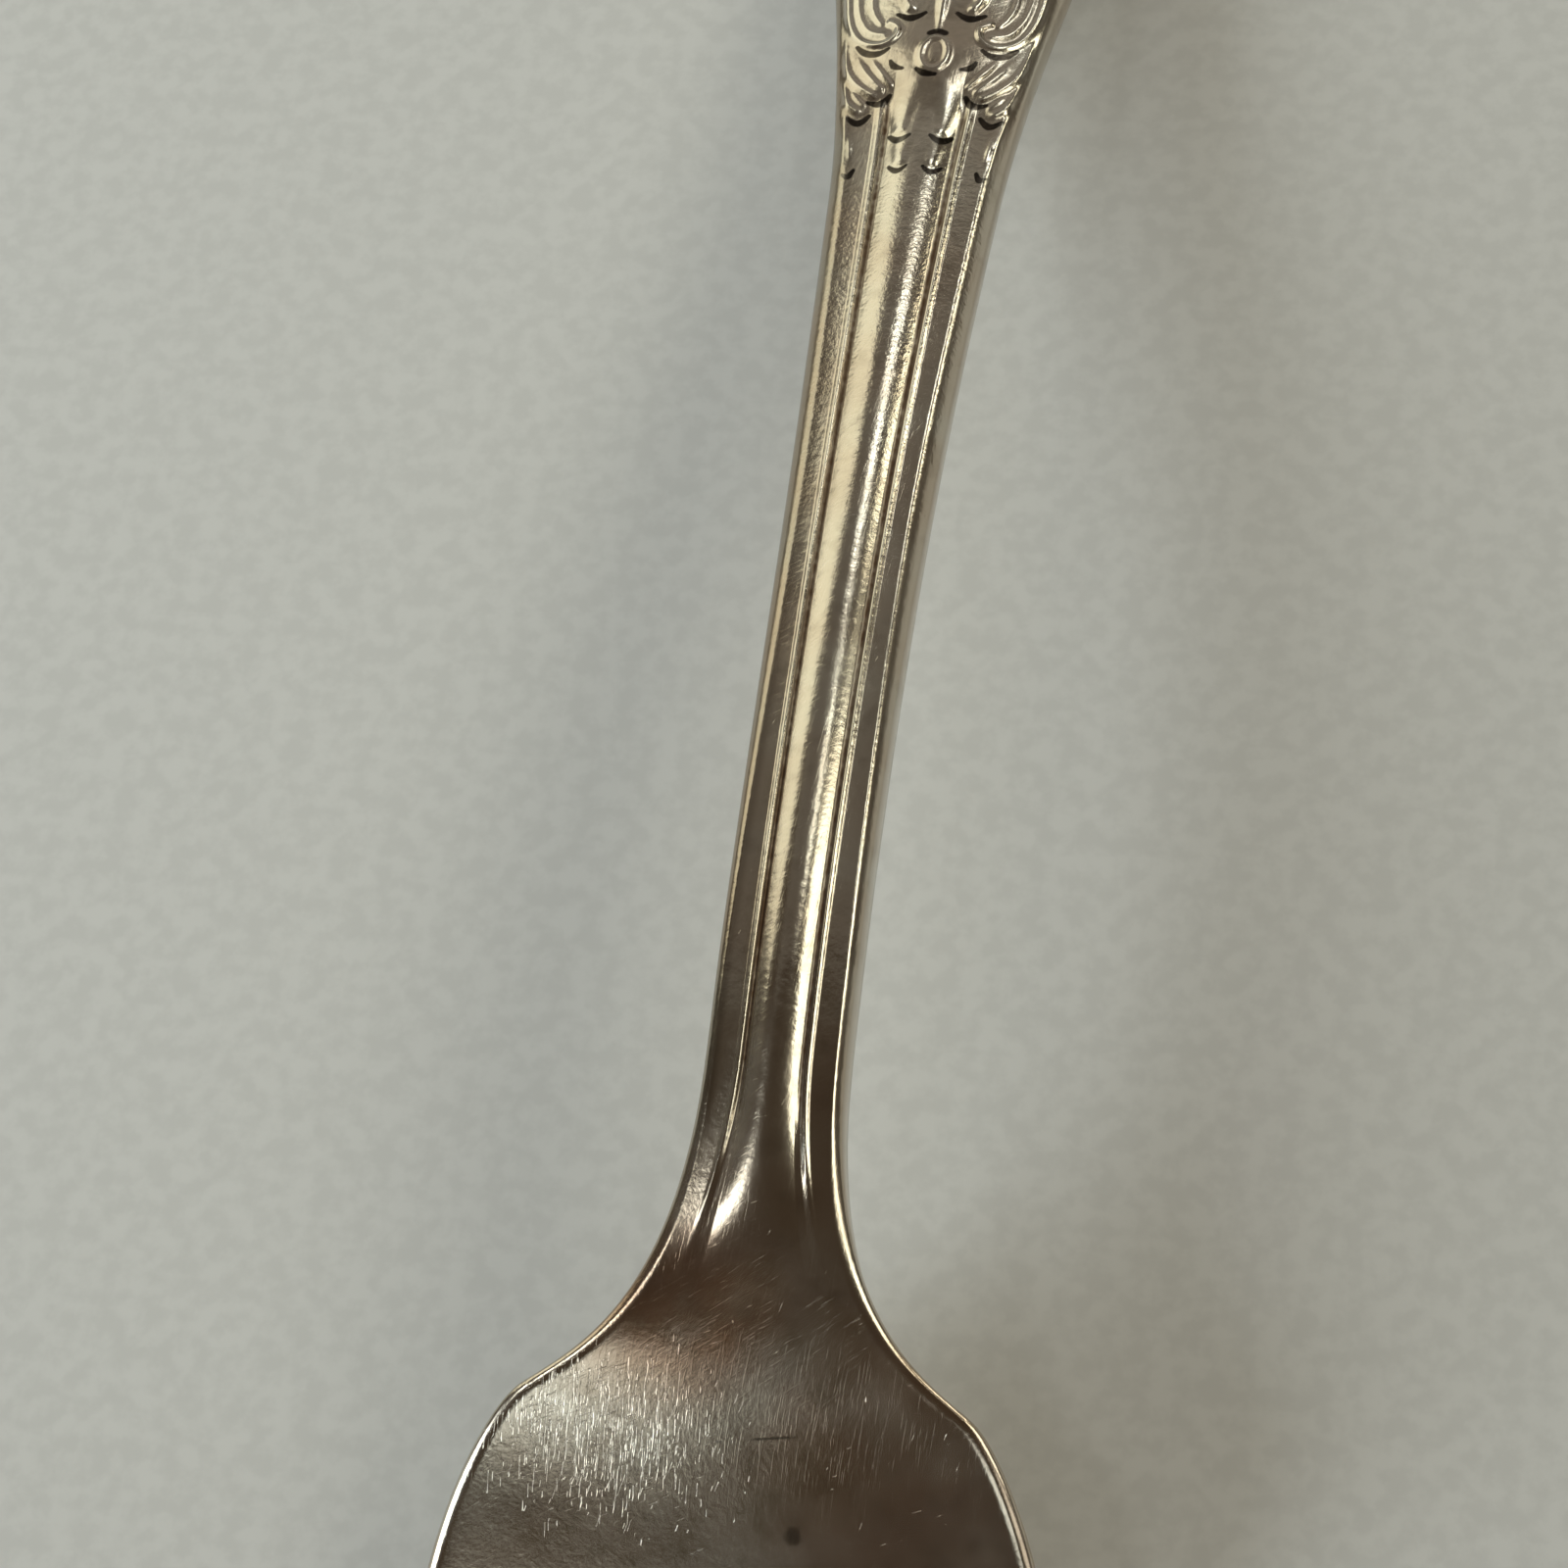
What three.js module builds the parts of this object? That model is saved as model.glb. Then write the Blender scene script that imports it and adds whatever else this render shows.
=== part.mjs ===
// A four-tined salad fork, struck from one blank and silver plated, lying on a table with its front up.
// Sizes are in millimetres and +Z is up. +Y runs to the end of the handle, and the tines point along -Y.
// The origin is on the table, under the middle of the fork. The fork is made in the eight sections that a
// cutler names, and each section meets its neighbours face to face on a plane across the fork.
import * as THREE from "three";

// Lengths of the sections, from the tine tips to the end of the handle
const TINE_LENGTH = 34;
const HEAD_LENGTH = 16.2;
const NECK_LENGTH = 14;
const STEM_LENGTH = 45.9;
const END_LENGTH = 45.9;

// Widths seen from above
const HEAD_WIDTH = 26.9;
const SHOULDER_WIDTH = 18.8;
const NECK_WIDTH = 5.9;
const STEM_WIDTH = 8.1;
const END_WIDTH = 17;
const END_TIP_WIDTH = 0.6; // the blunt tip of the handle end
const TINE_TIP_WIDTH = 3.4;
const SLOT_ROOT_WIDTH = 2.5;
const SLOT_MOUTH_WIDTH = 3.6;

// Thicknesses, measured square to the front
const TINE_TIP_THICKNESS = 1.3;
const HEAD_THICKNESS = 1.9;
const NECK_THICKNESS = 3.2;
const STEM_THICKNESS = 2.6;
const END_THICKNESS = 2;

// Heights of the front above the table, on the centre line
const TINE_TIP_HEIGHT = 10.5;
const ARCH_HEIGHT = 13.3;

// Places along the fork
const HEAD_PARALLEL = 4; // from the slot roots to where the head starts to narrow
const ARCH_PLACE = 8.6; // from the start of the stem to the top of the arch
const END_WIDEST_PLACE = 12; // from the widest part of the handle end to its tip
const PENDANT_LENGTH = 9; // from the start of the handle end to where its flutes have died away
const TINE_POINT_LENGTH = 5; // the rounded point of a tine
const TINE_BLUNT_SHARE = 0.16; // of a tine's width, left at its point
const TINE_THIN_SHARE = 0.5; // of a tine's thickness, left at its point

// Slopes: change of half-width or of height for each millimetre along the fork
const SHOULDER_SLOPE = 1.34;
const STEM_SLOPE = 0.05;
const END_SLOPE = 0.079;
const END_TIP_SLOPE = 6.5;
const TINE_TIP_SLOPE = 0.66;
const END_FALL = 0.03;

// Pulls: the share of a sweep's length over which it keeps to the slope of that end
const HEAD_PULL_SHARE = 0.52;
const SHOULDER_PULL_SHARE = 0.07;
const FLARE_PULL_SHARE = 0.106;
const NECK_PULL_SHARE = 0.775;
const STEM_START_PULL_SHARE = 0.41;
const STEM_END_PULL_SHARE = 0.346;
const END_START_PULL_SHARE = 0.35;
const END_WIDEST_PULL_SHARE = 0.41;
const END_ROUND_PULL_SHARE = 0.33;
const END_TIP_PULL_SHARE = 0.06;
const TINE_TIP_PULL_SHARE = 0.24;
const TINE_ROOT_PULL_SHARE = 0.35;
const BELLY_PULL_SHARE = 0.3;
const ARCH_HEAD_PULL_SHARE = 0.66;
const ARCH_HANDLE_PULL_SHARE = 0.35;
const HANDLE_END_PULL_SHARE = 0.3;

// Hollows and crowns across the fork
const DISH_DEPTH = 0.8; // sides of the head above its middle
const FRONT_CROWN = 0.35; // sides of the handle's front below its middle
const BACK_CROWN = 0.35; // sides of the neck's and stem's back above its middle
const END_BACK_CROWN = 0.15;
const EDGE_ROUND_WIDTH = 0.42;
const FRONT_ROUND_HEIGHT = 0.62;
const BACK_ROUND_HEIGHT = 0.35;
const MOST_ROUND_SHARE = 0.45; // most of a wall or of a half-width that the rounding of an edge takes
const FLAT_DEPTH = 0.15; // worn off the back where the fork rests on the table

// Struck relief on the front of the handle
const ROLL_RISE = 0.3;
const GROOVE_DEPTH = 0.12;
const BEAD_RISE = 0.12;
const BEAD_SHARE = 0.52; // from the centre line, as a share of the half-width inside the rounded edge
const BEAD_SHARE_AT_HEAD = 0.66;
const BEAD_SPACING_SHARE = 0.08; // from the bead to the grooves beside it, as such a share
const BORDER_RISE = 0.24;
const BORDER_SHARE = 0.86;
const BORDER_SPREAD_SHARE = 0.13;
const PANEL_RISE = 0.45;
const PANEL_LENGTH = 27;
const PANEL_WIDTH = 8.4;
const PANEL_TO_TIP = 7;

const TINE_COUNT = 4;
const CORNER_STEPS = [0, 0.12, 0.42, 1]; // places round an edge, as shares of its width

const LENGTH = TINE_LENGTH + HEAD_LENGTH + NECK_LENGTH + STEM_LENGTH + END_LENGTH;
const tipPlane = -LENGTH / 2;
const rootPlane = tipPlane + TINE_LENGTH;
const neckPlane = rootPlane + HEAD_LENGTH;
const stemPlane = neckPlane + NECK_LENGTH;
const endPlane = stemPlane + STEM_LENGTH;
const farEnd = LENGTH / 2;
const archPlane = stemPlane + ARCH_PLACE;
const widestPlane = farEnd - END_WIDEST_PLACE;
const headStraightEnd = rootPlane + HEAD_PARALLEL;

// A curve from one [along, value] point to another, with the slope and the pull of each end.
// A pull is the share of the distance along over which the curve keeps to that slope.
function sweep(start, startSlope, startPull, end, endSlope, endPull) {
  const reach = end[0] - start[0];
  return new THREE.CubicBezierCurve(
    new THREE.Vector2(...start),
    new THREE.Vector2(start[0] + startPull * reach, start[1] + startSlope * startPull * reach),
    new THREE.Vector2(end[0] - endPull * reach, end[1] - endSlope * endPull * reach),
    new THREE.Vector2(...end),
  );
}

// A path through [along, value] points that runs level at each of them
function levels(points) {
  return points.slice(1).map((point, i) => sweep(points[i], 0, 0.5, point, 0, 0.5));
}

// The value of a path of sweeps at a place along the fork
function valueAt(path, along) {
  const curve = path.find((piece) => along <= piece.v3.x) ?? path.at(-1);
  let low = 0;
  let high = 1;
  while (high - low > 1e-7) {
    const middle = (low + high) / 2;
    if (curve.getPoint(middle).x < along) low = middle;
    else high = middle;
  }
  return curve.getPoint(high).y;
}

// Half-width of the fork from the slot roots to the end of the handle
const headSide = [headStraightEnd, HEAD_WIDTH / 2];
const shoulder = [neckPlane, SHOULDER_WIDTH / 2];
const narrowest = [stemPlane, NECK_WIDTH / 2];
const stemEnd = [endPlane, STEM_WIDTH / 2];
const widest = [widestPlane, END_WIDTH / 2];
const blunt = [farEnd, END_TIP_WIDTH / 2];
const outline = [
  ...levels([[rootPlane, HEAD_WIDTH / 2], headSide]),
  sweep(headSide, 0, HEAD_PULL_SHARE, shoulder, -SHOULDER_SLOPE, SHOULDER_PULL_SHARE),
  sweep(shoulder, -SHOULDER_SLOPE, FLARE_PULL_SHARE, narrowest, 0, NECK_PULL_SHARE),
  sweep(narrowest, 0, STEM_START_PULL_SHARE, stemEnd, STEM_SLOPE, STEM_END_PULL_SHARE),
  sweep(stemEnd, STEM_SLOPE, END_START_PULL_SHARE, widest, END_SLOPE, END_WIDEST_PULL_SHARE),
  sweep(widest, END_SLOPE, END_ROUND_PULL_SHARE, blunt, -END_TIP_SLOPE, END_TIP_PULL_SHARE),
];

// Height of the front on the centre line, from the tine tips over the arch to the end of the handle
const tineTip = [tipPlane, TINE_TIP_HEIGHT];
const belly = [rootPlane, HEAD_THICKNESS - FLAT_DEPTH];
const arch = [archPlane, ARCH_HEIGHT];
const handleEnd = [farEnd, END_THICKNESS - FLAT_DEPTH];
const spine = [
  sweep(tineTip, -TINE_TIP_SLOPE, TINE_TIP_PULL_SHARE, belly, 0, TINE_ROOT_PULL_SHARE),
  sweep(belly, 0, BELLY_PULL_SHARE, arch, 0, ARCH_HEAD_PULL_SHARE),
  sweep(arch, 0, ARCH_HANDLE_PULL_SHARE, handleEnd, -END_FALL, HANDLE_END_PULL_SHARE),
];

const neckMiddle = (neckPlane + stemPlane) / 2;
const headMiddle = (rootPlane + neckPlane) / 2;
const thickness = levels([
  [tipPlane, TINE_TIP_THICKNESS],
  [rootPlane, HEAD_THICKNESS],
  [neckMiddle, NECK_THICKNESS],
  [endPlane, STEM_THICKNESS],
  [farEnd, END_THICKNESS],
]);

// How far the sides stand above the middle, on the front and on the back
const frontSides = levels([
  [tipPlane, 0],
  [rootPlane, 0],
  [headMiddle, DISH_DEPTH],
  [stemPlane, -FRONT_CROWN],
  [farEnd, -FRONT_CROWN],
]);
const backSides = levels([
  [tipPlane, 0],
  [rootPlane, 0],
  [headMiddle, DISH_DEPTH],
  [stemPlane, BACK_CROWN],
  [endPlane, BACK_CROWN],
  [farEnd, END_BACK_CROWN],
]);

// Strength of the flutes and of the ornament, and the place of the bead lines
const fluteStrength = levels([
  [tipPlane, 0],
  [neckPlane, 0],
  [stemPlane, 1],
  [endPlane, 1],
  [endPlane + PENDANT_LENGTH, 0],
  [farEnd, 0],
]);
const borderStrength = levels([
  [tipPlane, 0],
  [endPlane, 0],
  [endPlane + PENDANT_LENGTH, 1],
  [farEnd, 1],
]);
const beadPlace = levels([
  [tipPlane, BEAD_SHARE_AT_HEAD],
  [neckPlane, BEAD_SHARE_AT_HEAD],
  [stemPlane, BEAD_SHARE],
  [farEnd, BEAD_SHARE],
]);

// A rounded bump: 1 in its middle and 0 at and beyond a distance of 1
function bump(distance) {
  return Math.max(0, 1 - distance ** 2);
}

// Height of the centre roll, the grooves and the bead line, at a share of the half-width
function fluteRise(share, bead) {
  const groove = bead - BEAD_SPACING_SHARE;
  const beadEdge = bead + BEAD_SPACING_SHARE;
  if (share < groove) {
    return (ROLL_RISE + GROOVE_DEPTH) * bump(share / groove) - GROOVE_DEPTH;
  }
  if (share < beadEdge) {
    return (BEAD_RISE + GROOVE_DEPTH) * bump((share - bead) / BEAD_SPACING_SHARE) - GROOVE_DEPTH;
  }
  return -GROOVE_DEPTH * ((1 - share) / (1 - beadEdge)) ** 2;
}

// Height of the raised border along the edge of the handle end
function borderRise(share) {
  return BORDER_RISE * bump((share - BORDER_SHARE) / BORDER_SPREAD_SHARE);
}

// Height of the pointed oval panel on the handle end
function panelRise(across, along) {
  const middle = farEnd - PANEL_TO_TIP - PANEL_LENGTH / 2;
  return PANEL_RISE * bump(Math.hypot(across / (PANEL_WIDTH / 2), (along - middle) / (PANEL_LENGTH / 2)));
}

// Everything about the fork at one place along it that doesn't change from side to side
function stationAt(along) {
  const step = 0.01;
  const slope = (valueAt(spine, along + step) - valueAt(spine, along - step)) / (2 * step);
  const front = valueAt(spine, along);
  return {
    along,
    front,
    back: front - valueAt(thickness, along) * Math.hypot(1, slope),
    frontSides: valueAt(frontSides, along),
    backSides: valueAt(backSides, along),
    flutes: valueAt(fluteStrength, along),
    border: valueAt(borderStrength, along),
    bead: valueAt(beadPlace, along),
  };
}

// One closed ring across the fork: over the front from left to right, then back along the underside
function ringAt(station, left, right, shares, frontAt, backAt) {
  const half = (right - left) / 2;
  const middle = (left + right) / 2;
  const wall = station.front - station.back;
  const roundWidth = Math.min(EDGE_ROUND_WIDTH, MOST_ROUND_SHARE * half);
  const frontRound = Math.min(FRONT_ROUND_HEIGHT, MOST_ROUND_SHARE * wall);
  const backRound = Math.min(BACK_ROUND_HEIGHT, MOST_ROUND_SHARE * wall);
  const inside = half - roundWidth;
  const corner = CORNER_STEPS.map((step) => half - step * roundWidth);
  const inner = shares.map((share) => share * inside);
  const places = [...corner.map((place) => -place), ...inner, ...corner.toReversed()];
  const front = [];
  const back = [];
  for (const place of places) {
    const share = THREE.MathUtils.clamp(place / inside, -1, 1);
    const past = Math.max(0, Math.abs(place) - inside) / roundWidth;
    const turn = 1 - Math.sqrt(bump(past));
    const across = middle + place;
    front.push([across, station.along, frontAt(share, across) - turn * frontRound]);
    back.push([across, station.along, Math.max(0, backAt(share) + turn * backRound)]);
  }
  return { front, back };
}

// A closed solid through rings that run along +Y
function loft(rings) {
  const positions = rings.flatMap((ring) => [...ring.front, ...ring.back.toReversed()].flat());
  const width = rings[0].front.length;
  const size = 2 * width;
  const triangles = [];
  for (let row = 0; row + 1 < rings.length; row += 1) {
    for (let i = 0; i < size; i += 1) {
      const a = row * size + i;
      const b = row * size + ((i + 1) % size);
      triangles.push(a, b, b + size, a, b + size, a + size);
    }
  }
  const last = (rings.length - 1) * size;
  for (let i = 0; i + 1 < width; i += 1) {
    const facing = size - 1 - i;
    triangles.push(i, facing, facing - 1, i, facing - 1, i + 1);
    triangles.push(last + i, last + facing - 1, last + facing, last + i, last + i + 1, last + facing - 1);
  }
  const geometry = new THREE.BufferGeometry();
  geometry.setAttribute("position", new THREE.Float32BufferAttribute(positions, 3));
  geometry.setIndex(triangles);
  geometry.computeVertexNormals();
  return geometry;
}

// Shares of the half-width at which the front of head and handle is measured, for a bead line's place
function sharesAcross(bead, borderShares) {
  const groove = bead - BEAD_SPACING_SHARE;
  const beadEdge = bead + BEAD_SPACING_SHARE;
  const roll = [0.4, 0.75].map((share) => share * groove);
  const line = [groove, bead - BEAD_SPACING_SHARE / 2, bead, bead + BEAD_SPACING_SHARE / 2, beadEdge];
  const side = [...roll, ...line, ...borderShares];
  return [...side.toReversed().map((share) => -share), 0, ...side];
}

// A section of head or handle, symmetrical about the centre line, through the given places along it
function handleSection(places, borderShares) {
  const rings = places.map((along) => {
    const station = stationAt(along);
    const half = valueAt(outline, along);
    const frontAt = (share, across) =>
      station.front +
      station.frontSides * share ** 2 +
      station.flutes * fluteRise(Math.abs(share), station.bead) +
      station.border * borderRise(Math.abs(share)) +
      panelRise(across, along);
    const backAt = (share) => station.back + station.backSides * share ** 2;
    return ringAt(station, -half, half, sharesAcross(station.bead, borderShares), frontAt, backAt);
  });
  return loft(rings);
}

// Evenly spaced places from one plane to another
function evenPlaces(start, end, steps) {
  return Array.from({ length: steps + 1 }, (_, i) => start + ((end - start) * i) / steps);
}

// Half the gap of a slot's round root, and its distance from the root plane, at an angle round it
function slotRoot(angle) {
  const radius = SLOT_ROOT_WIDTH / 2;
  return { along: rootPlane - radius * (1 - Math.cos(angle)), gap: radius * Math.sin(angle) };
}

// One tine: flared at its root to meet its neighbours round the slot, tapered, and rounded at its point
function tineSection(index) {
  const order = index - (TINE_COUNT - 1) / 2;
  const rootWidth = (HEAD_WIDTH - (TINE_COUNT - 1) * SLOT_ROOT_WIDTH) / TINE_COUNT;
  const shape = (along) => {
    const share = (rootPlane - along) / TINE_LENGTH;
    const width = THREE.MathUtils.lerp(rootWidth, TINE_TIP_WIDTH, share);
    const slot = THREE.MathUtils.lerp(SLOT_ROOT_WIDTH, SLOT_MOUTH_WIDTH, share);
    return { width, centre: order * (width + slot) };
  };
  const ring = (along, flare, pointed) => {
    const { width, centre } = shape(along);
    const station = stationAt(along);
    const middle = (station.front + station.back) / 2;
    const thin = THREE.MathUtils.lerp(TINE_THIN_SHARE, 1, pointed);
    const front = middle + (station.front - middle) * thin;
    const back = middle + (station.back - middle) * thin;
    const left = centre - (width / 2) * pointed - (index > 0 ? flare : 0);
    const right = centre + (width / 2) * pointed + (index < TINE_COUNT - 1 ? flare : 0);
    return ringAt({ ...station, front, back }, left, right, [-0.5, 0, 0.5], () => front, () => back);
  };
  const pointStart = tipPlane + TINE_POINT_LENGTH;
  const bluntAngle = Math.acos(TINE_BLUNT_SHARE);
  const points = evenPlaces(bluntAngle, 0, 4).map((angle) => {
    const along = pointStart - (TINE_POINT_LENGTH * Math.sin(angle)) / Math.sin(bluntAngle);
    return ring(along, 0, Math.cos(angle));
  });
  const flareStart = slotRoot(Math.PI / 2).along;
  const straight = evenPlaces(pointStart, flareStart, 8).slice(1, -1).map((along) => ring(along, 0, 1));
  const flared = evenPlaces(Math.PI / 2, 0, 4).map((angle) => {
    const { along, gap } = slotRoot(angle);
    return ring(along, SLOT_ROOT_WIDTH / 2 - gap, 1);
  });
  return loft([...points, ...straight, ...flared]);
}

// Worn silver plate, more or less tarnished
function silverPlate(colour, roughness) {
  return new THREE.MeshStandardMaterial({ color: colour, roughness, metalness: 1 });
}

const fork = new THREE.Group();

function addSection(name, geometry, material) {
  const mesh = new THREE.Mesh(geometry, material);
  mesh.name = name;
  fork.add(mesh);
}

// Places along some of the outline's sweeps, which close up where the outline turns
function outlinePlaces(first, steps) {
  const points = steps.flatMap((count, i) => outline[first + i].getPoints(count).slice(i > 0 ? 1 : 0));
  return points.map((point) => point.x);
}

const plainBorder = [(BEAD_SHARE_AT_HEAD + BEAD_SPACING_SHARE + 1) / 2];
const raisedBorder = evenPlaces(BORDER_SHARE - BORDER_SPREAD_SHARE, BORDER_SHARE + BORDER_SPREAD_SHARE, 4);
const sections = {
  ornamented_end: handleSection(outlinePlaces(4, [14, 10]), raisedBorder),
  fluted_stem: handleSection(evenPlaces(stemPlane, endPlane, 14), plainBorder),
  neck: handleSection(outlinePlaces(2, [12]), plainBorder),
  head_plate: handleSection(outlinePlaces(0, [3, 10]), plainBorder),
};
addSection("ornamented_end", sections.ornamented_end, silverPlate(0xb0a58f, 0.36));
addSection("fluted_stem", sections.fluted_stem, silverPlate(0xbdb29c, 0.3));
addSection("neck", sections.neck, silverPlate(0xb5a991, 0.3));
addSection("head_plate", sections.head_plate, silverPlate(0xb7ac96, 0.33));
const tineNames = ["left_outer_tine", "left_inner_tine", "right_inner_tine", "right_outer_tine"];
tineNames.forEach((name, index) => addSection(name, tineSection(index), silverPlate(0xbab09b, 0.32)));

export default fork;
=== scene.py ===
# %% [markdown]
# # A worn silver-plated fork
# The fork lies on its back on a pale floor, and the camera looks down on it from its head end. This lesson
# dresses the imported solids: each of the eight sections gets a finer surface in exactly the same place. The
# first lines load the solids as a fixed frame, and everything after is measured from them.

# %% Load the frame
import math

import bpy
import numpy as np
from mathutils import Matrix, Vector


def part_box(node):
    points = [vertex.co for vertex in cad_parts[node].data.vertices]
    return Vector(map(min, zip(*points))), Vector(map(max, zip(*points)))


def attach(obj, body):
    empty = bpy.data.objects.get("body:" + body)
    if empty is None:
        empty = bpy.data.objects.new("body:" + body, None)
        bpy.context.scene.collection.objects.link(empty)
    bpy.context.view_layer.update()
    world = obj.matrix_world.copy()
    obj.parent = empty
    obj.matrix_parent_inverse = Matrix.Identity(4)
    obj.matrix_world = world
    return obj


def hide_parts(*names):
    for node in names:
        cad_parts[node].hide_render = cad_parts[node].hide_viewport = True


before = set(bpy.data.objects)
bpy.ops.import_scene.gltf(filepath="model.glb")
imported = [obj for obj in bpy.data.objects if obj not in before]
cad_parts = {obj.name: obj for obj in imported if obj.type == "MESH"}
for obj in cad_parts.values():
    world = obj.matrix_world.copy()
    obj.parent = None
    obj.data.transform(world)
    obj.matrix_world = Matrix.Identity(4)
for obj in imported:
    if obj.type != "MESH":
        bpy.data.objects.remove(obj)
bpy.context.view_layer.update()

MM = 0.001  # shapes are written in millimetres and made in metres
print("sections:", ", ".join(sorted(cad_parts)))

# %% [markdown]
# ## The camera
# The picture shows the middle of the fork, from above and a little to its right, with the tines and most of
# the handle end outside the frame. A camera can be aimed by eye or solved: here its place and its three
# directions come from matching the outline of the solids to the edges of the fork in the picture, so they
# are written as they were found. A long lens keeps the widths of near and far parts comparable.

# %% Camera at the picture's viewpoint
PICTURE_SIZE = 1600
FOCAL_PIXELS = 4000
SENSOR_WIDTH = 36
NEAREST_SEEN = 10  # millimetres in front of the camera
CAMERA_PLACE = (27.51, -76.05, 159.23)
CAMERA_RIGHT = (0.9835, 0.1277, -0.1278)
CAMERA_UP = (-0.0551, 0.8859, 0.4607)

camera_data = bpy.data.cameras.new("picture_camera")
camera_data.sensor_width = SENSOR_WIDTH
camera_data.lens = SENSOR_WIDTH * FOCAL_PIXELS / PICTURE_SIZE
camera_data.clip_start = NEAREST_SEEN * MM
camera = bpy.data.objects.new("picture_camera", camera_data)
bpy.context.scene.collection.objects.link(camera)
camera_right = Vector(CAMERA_RIGHT).normalized()
camera_back = camera_right.cross(Vector(CAMERA_UP)).normalized()
camera_up = camera_back.cross(camera_right)
camera_turn = Matrix((camera_right, camera_up, camera_back)).transposed()
camera.matrix_world = Matrix.Translation(Vector(CAMERA_PLACE) * MM) @ camera_turn.to_4x4()
bpy.context.scene.camera = camera
print("camera lens", round(camera_data.lens, 1), "mm")

# %% [markdown]
# ## Measuring the solids
# Every section of the solids is a stack of rings across the fork. Reading the rings back gives the outline,
# the height of the front at the rim and on the centre line, and the back, at each place along the fork.
# Copying the facets would copy their flats too, so only these few lines are taken and smoothed by a natural
# cubic spline, which bends as little as it can between the points that it passes through.

# %% Rings of the solids
SOLID_EDGE = 0.42  # width of the solids' rounded edge
MOST_EDGE_SHARE = 0.45  # of a narrow ring's half-width
SAME_RING = 0.002  # points this near to each other along the fork are of one ring
SAME_COLUMN = 0.004  # and this near across it, of one column
HANDLE_SECTIONS = ["head_plate", "neck", "fluted_stem", "ornamented_end"]


def points_of(section):
    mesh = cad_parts[section].data
    flat = np.zeros(len(mesh.vertices) * 3)
    mesh.vertices.foreach_get("co", flat)
    return flat.reshape(-1, 3) / MM


def rings_of(section):
    points = points_of(section)
    stations = np.unique(np.round(points[:, 1], 3))
    return [(along, points[np.abs(points[:, 1] - along) < SAME_RING]) for along in stations]


def measure_ring(along, ring):
    across = np.abs(ring[:, 0])
    half = across.max()
    inner = half - min(SOLID_EDGE, MOST_EDGE_SHARE * half)
    rim = ring[np.abs(across - inner) < SAME_COLUMN, 2]
    middle = ring[across < SAME_COLUMN, 2]
    return along, half, rim.max(), rim.min(), middle.max(), middle.min()


stations = {}
for section in HANDLE_SECTIONS:
    for along, ring in rings_of(section):
        stations[along] = measure_ring(along, ring)
measured = np.array([stations[along] for along in sorted(stations)])
planes = {section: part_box(section) for section in HANDLE_SECTIONS}
ROOT_PLANE = planes["head_plate"][0].y / MM
NECK_PLANE = planes["neck"][0].y / MM
STEM_PLANE = planes["fluted_stem"][0].y / MM
END_PLANE = planes["ornamented_end"][0].y / MM
FAR_END = planes["ornamented_end"][1].y / MM
print(len(measured), "rings, from", round(ROOT_PLANE, 2), "to", round(FAR_END, 2), "mm")


# %% Smooth lines through the rings
def natural_spline(places, values):
    """A function of a place that gives the value and the slope of the spline there."""
    gaps = np.diff(places)
    rises = np.diff(values) / gaps
    count = len(places)
    system = np.eye(count)
    target = np.zeros(count)
    for i in range(1, count - 1):
        system[i, i - 1:i + 2] = gaps[i - 1], 2 * (gaps[i - 1] + gaps[i]), gaps[i]
        target[i] = 6 * (rises[i] - rises[i - 1])
    bend = np.linalg.solve(system, target)

    def read(at):
        i = np.clip(np.searchsorted(places, at) - 1, 0, count - 2)
        step = at - places[i]
        first = rises[i] - gaps[i] * (2 * bend[i] + bend[i + 1]) / 6
        third = (bend[i + 1] - bend[i]) / (6 * gaps[i])
        value = values[i] + step * (first + step * (bend[i] / 2 + step * third))
        slope = first + step * (bend[i] + 3 * step * third)
        return value, slope

    return read


# The outline turns sharply at the end of the handle, so the lines follow its length and not y
run_at_ring = np.concatenate([[0], np.cumsum(np.hypot(np.diff(measured[:, 0]), np.diff(measured[:, 1])))])
along_line = natural_spline(run_at_ring, measured[:, 0])
half_line = natural_spline(run_at_ring, measured[:, 1])
rim_line = natural_spline(run_at_ring, measured[:, 2])
back_rim_line = natural_spline(run_at_ring, measured[:, 3])
back_line = natural_spline(run_at_ring, measured[:, 5])
crown_line = natural_spline(run_at_ring, measured[:, 4] - measured[:, 2])


def run_of_plane(plane):
    return run_at_ring[np.abs(measured[:, 0] - plane).argmin()]


print("outline length", round(run_at_ring[-1], 1), "mm")

# %% [markdown]
# ## The rule of the cross-section
# The stem was struck between dies: a rounded roll runs along the middle, a bead line runs on each side of
# it with a groove between them, and a flat border leads to a rounded rim. One rule gives the height at any
# share of the half-width, so the same lines run through stem, neck and handle end and fade where the real
# ones fade.

# %% Helpers for shapes that rise and fade
def fade(at, start, end):
    """0 before start, 1 after end, and a smooth step between them."""
    share = np.clip((at - start) / (end - start), 0, 1)
    return share * share * (3 - 2 * share)


def ridge(distance, spread):
    """1 on the line and 0 at and beyond the spread, with a soft foot."""
    return np.maximum(0, 1 - (distance / spread) ** 2) ** 1.5


def bent_line(share, turn):
    """From 0 to 1 as a straight slope that starts level: the turn is the share over which it bends."""
    return (np.hypot(share, turn) - turn) / (math.hypot(1, turn) - turn)


print("half way up, a bent slope is at", round(float(bent_line(0.5, 0.5)), 2))

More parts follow.
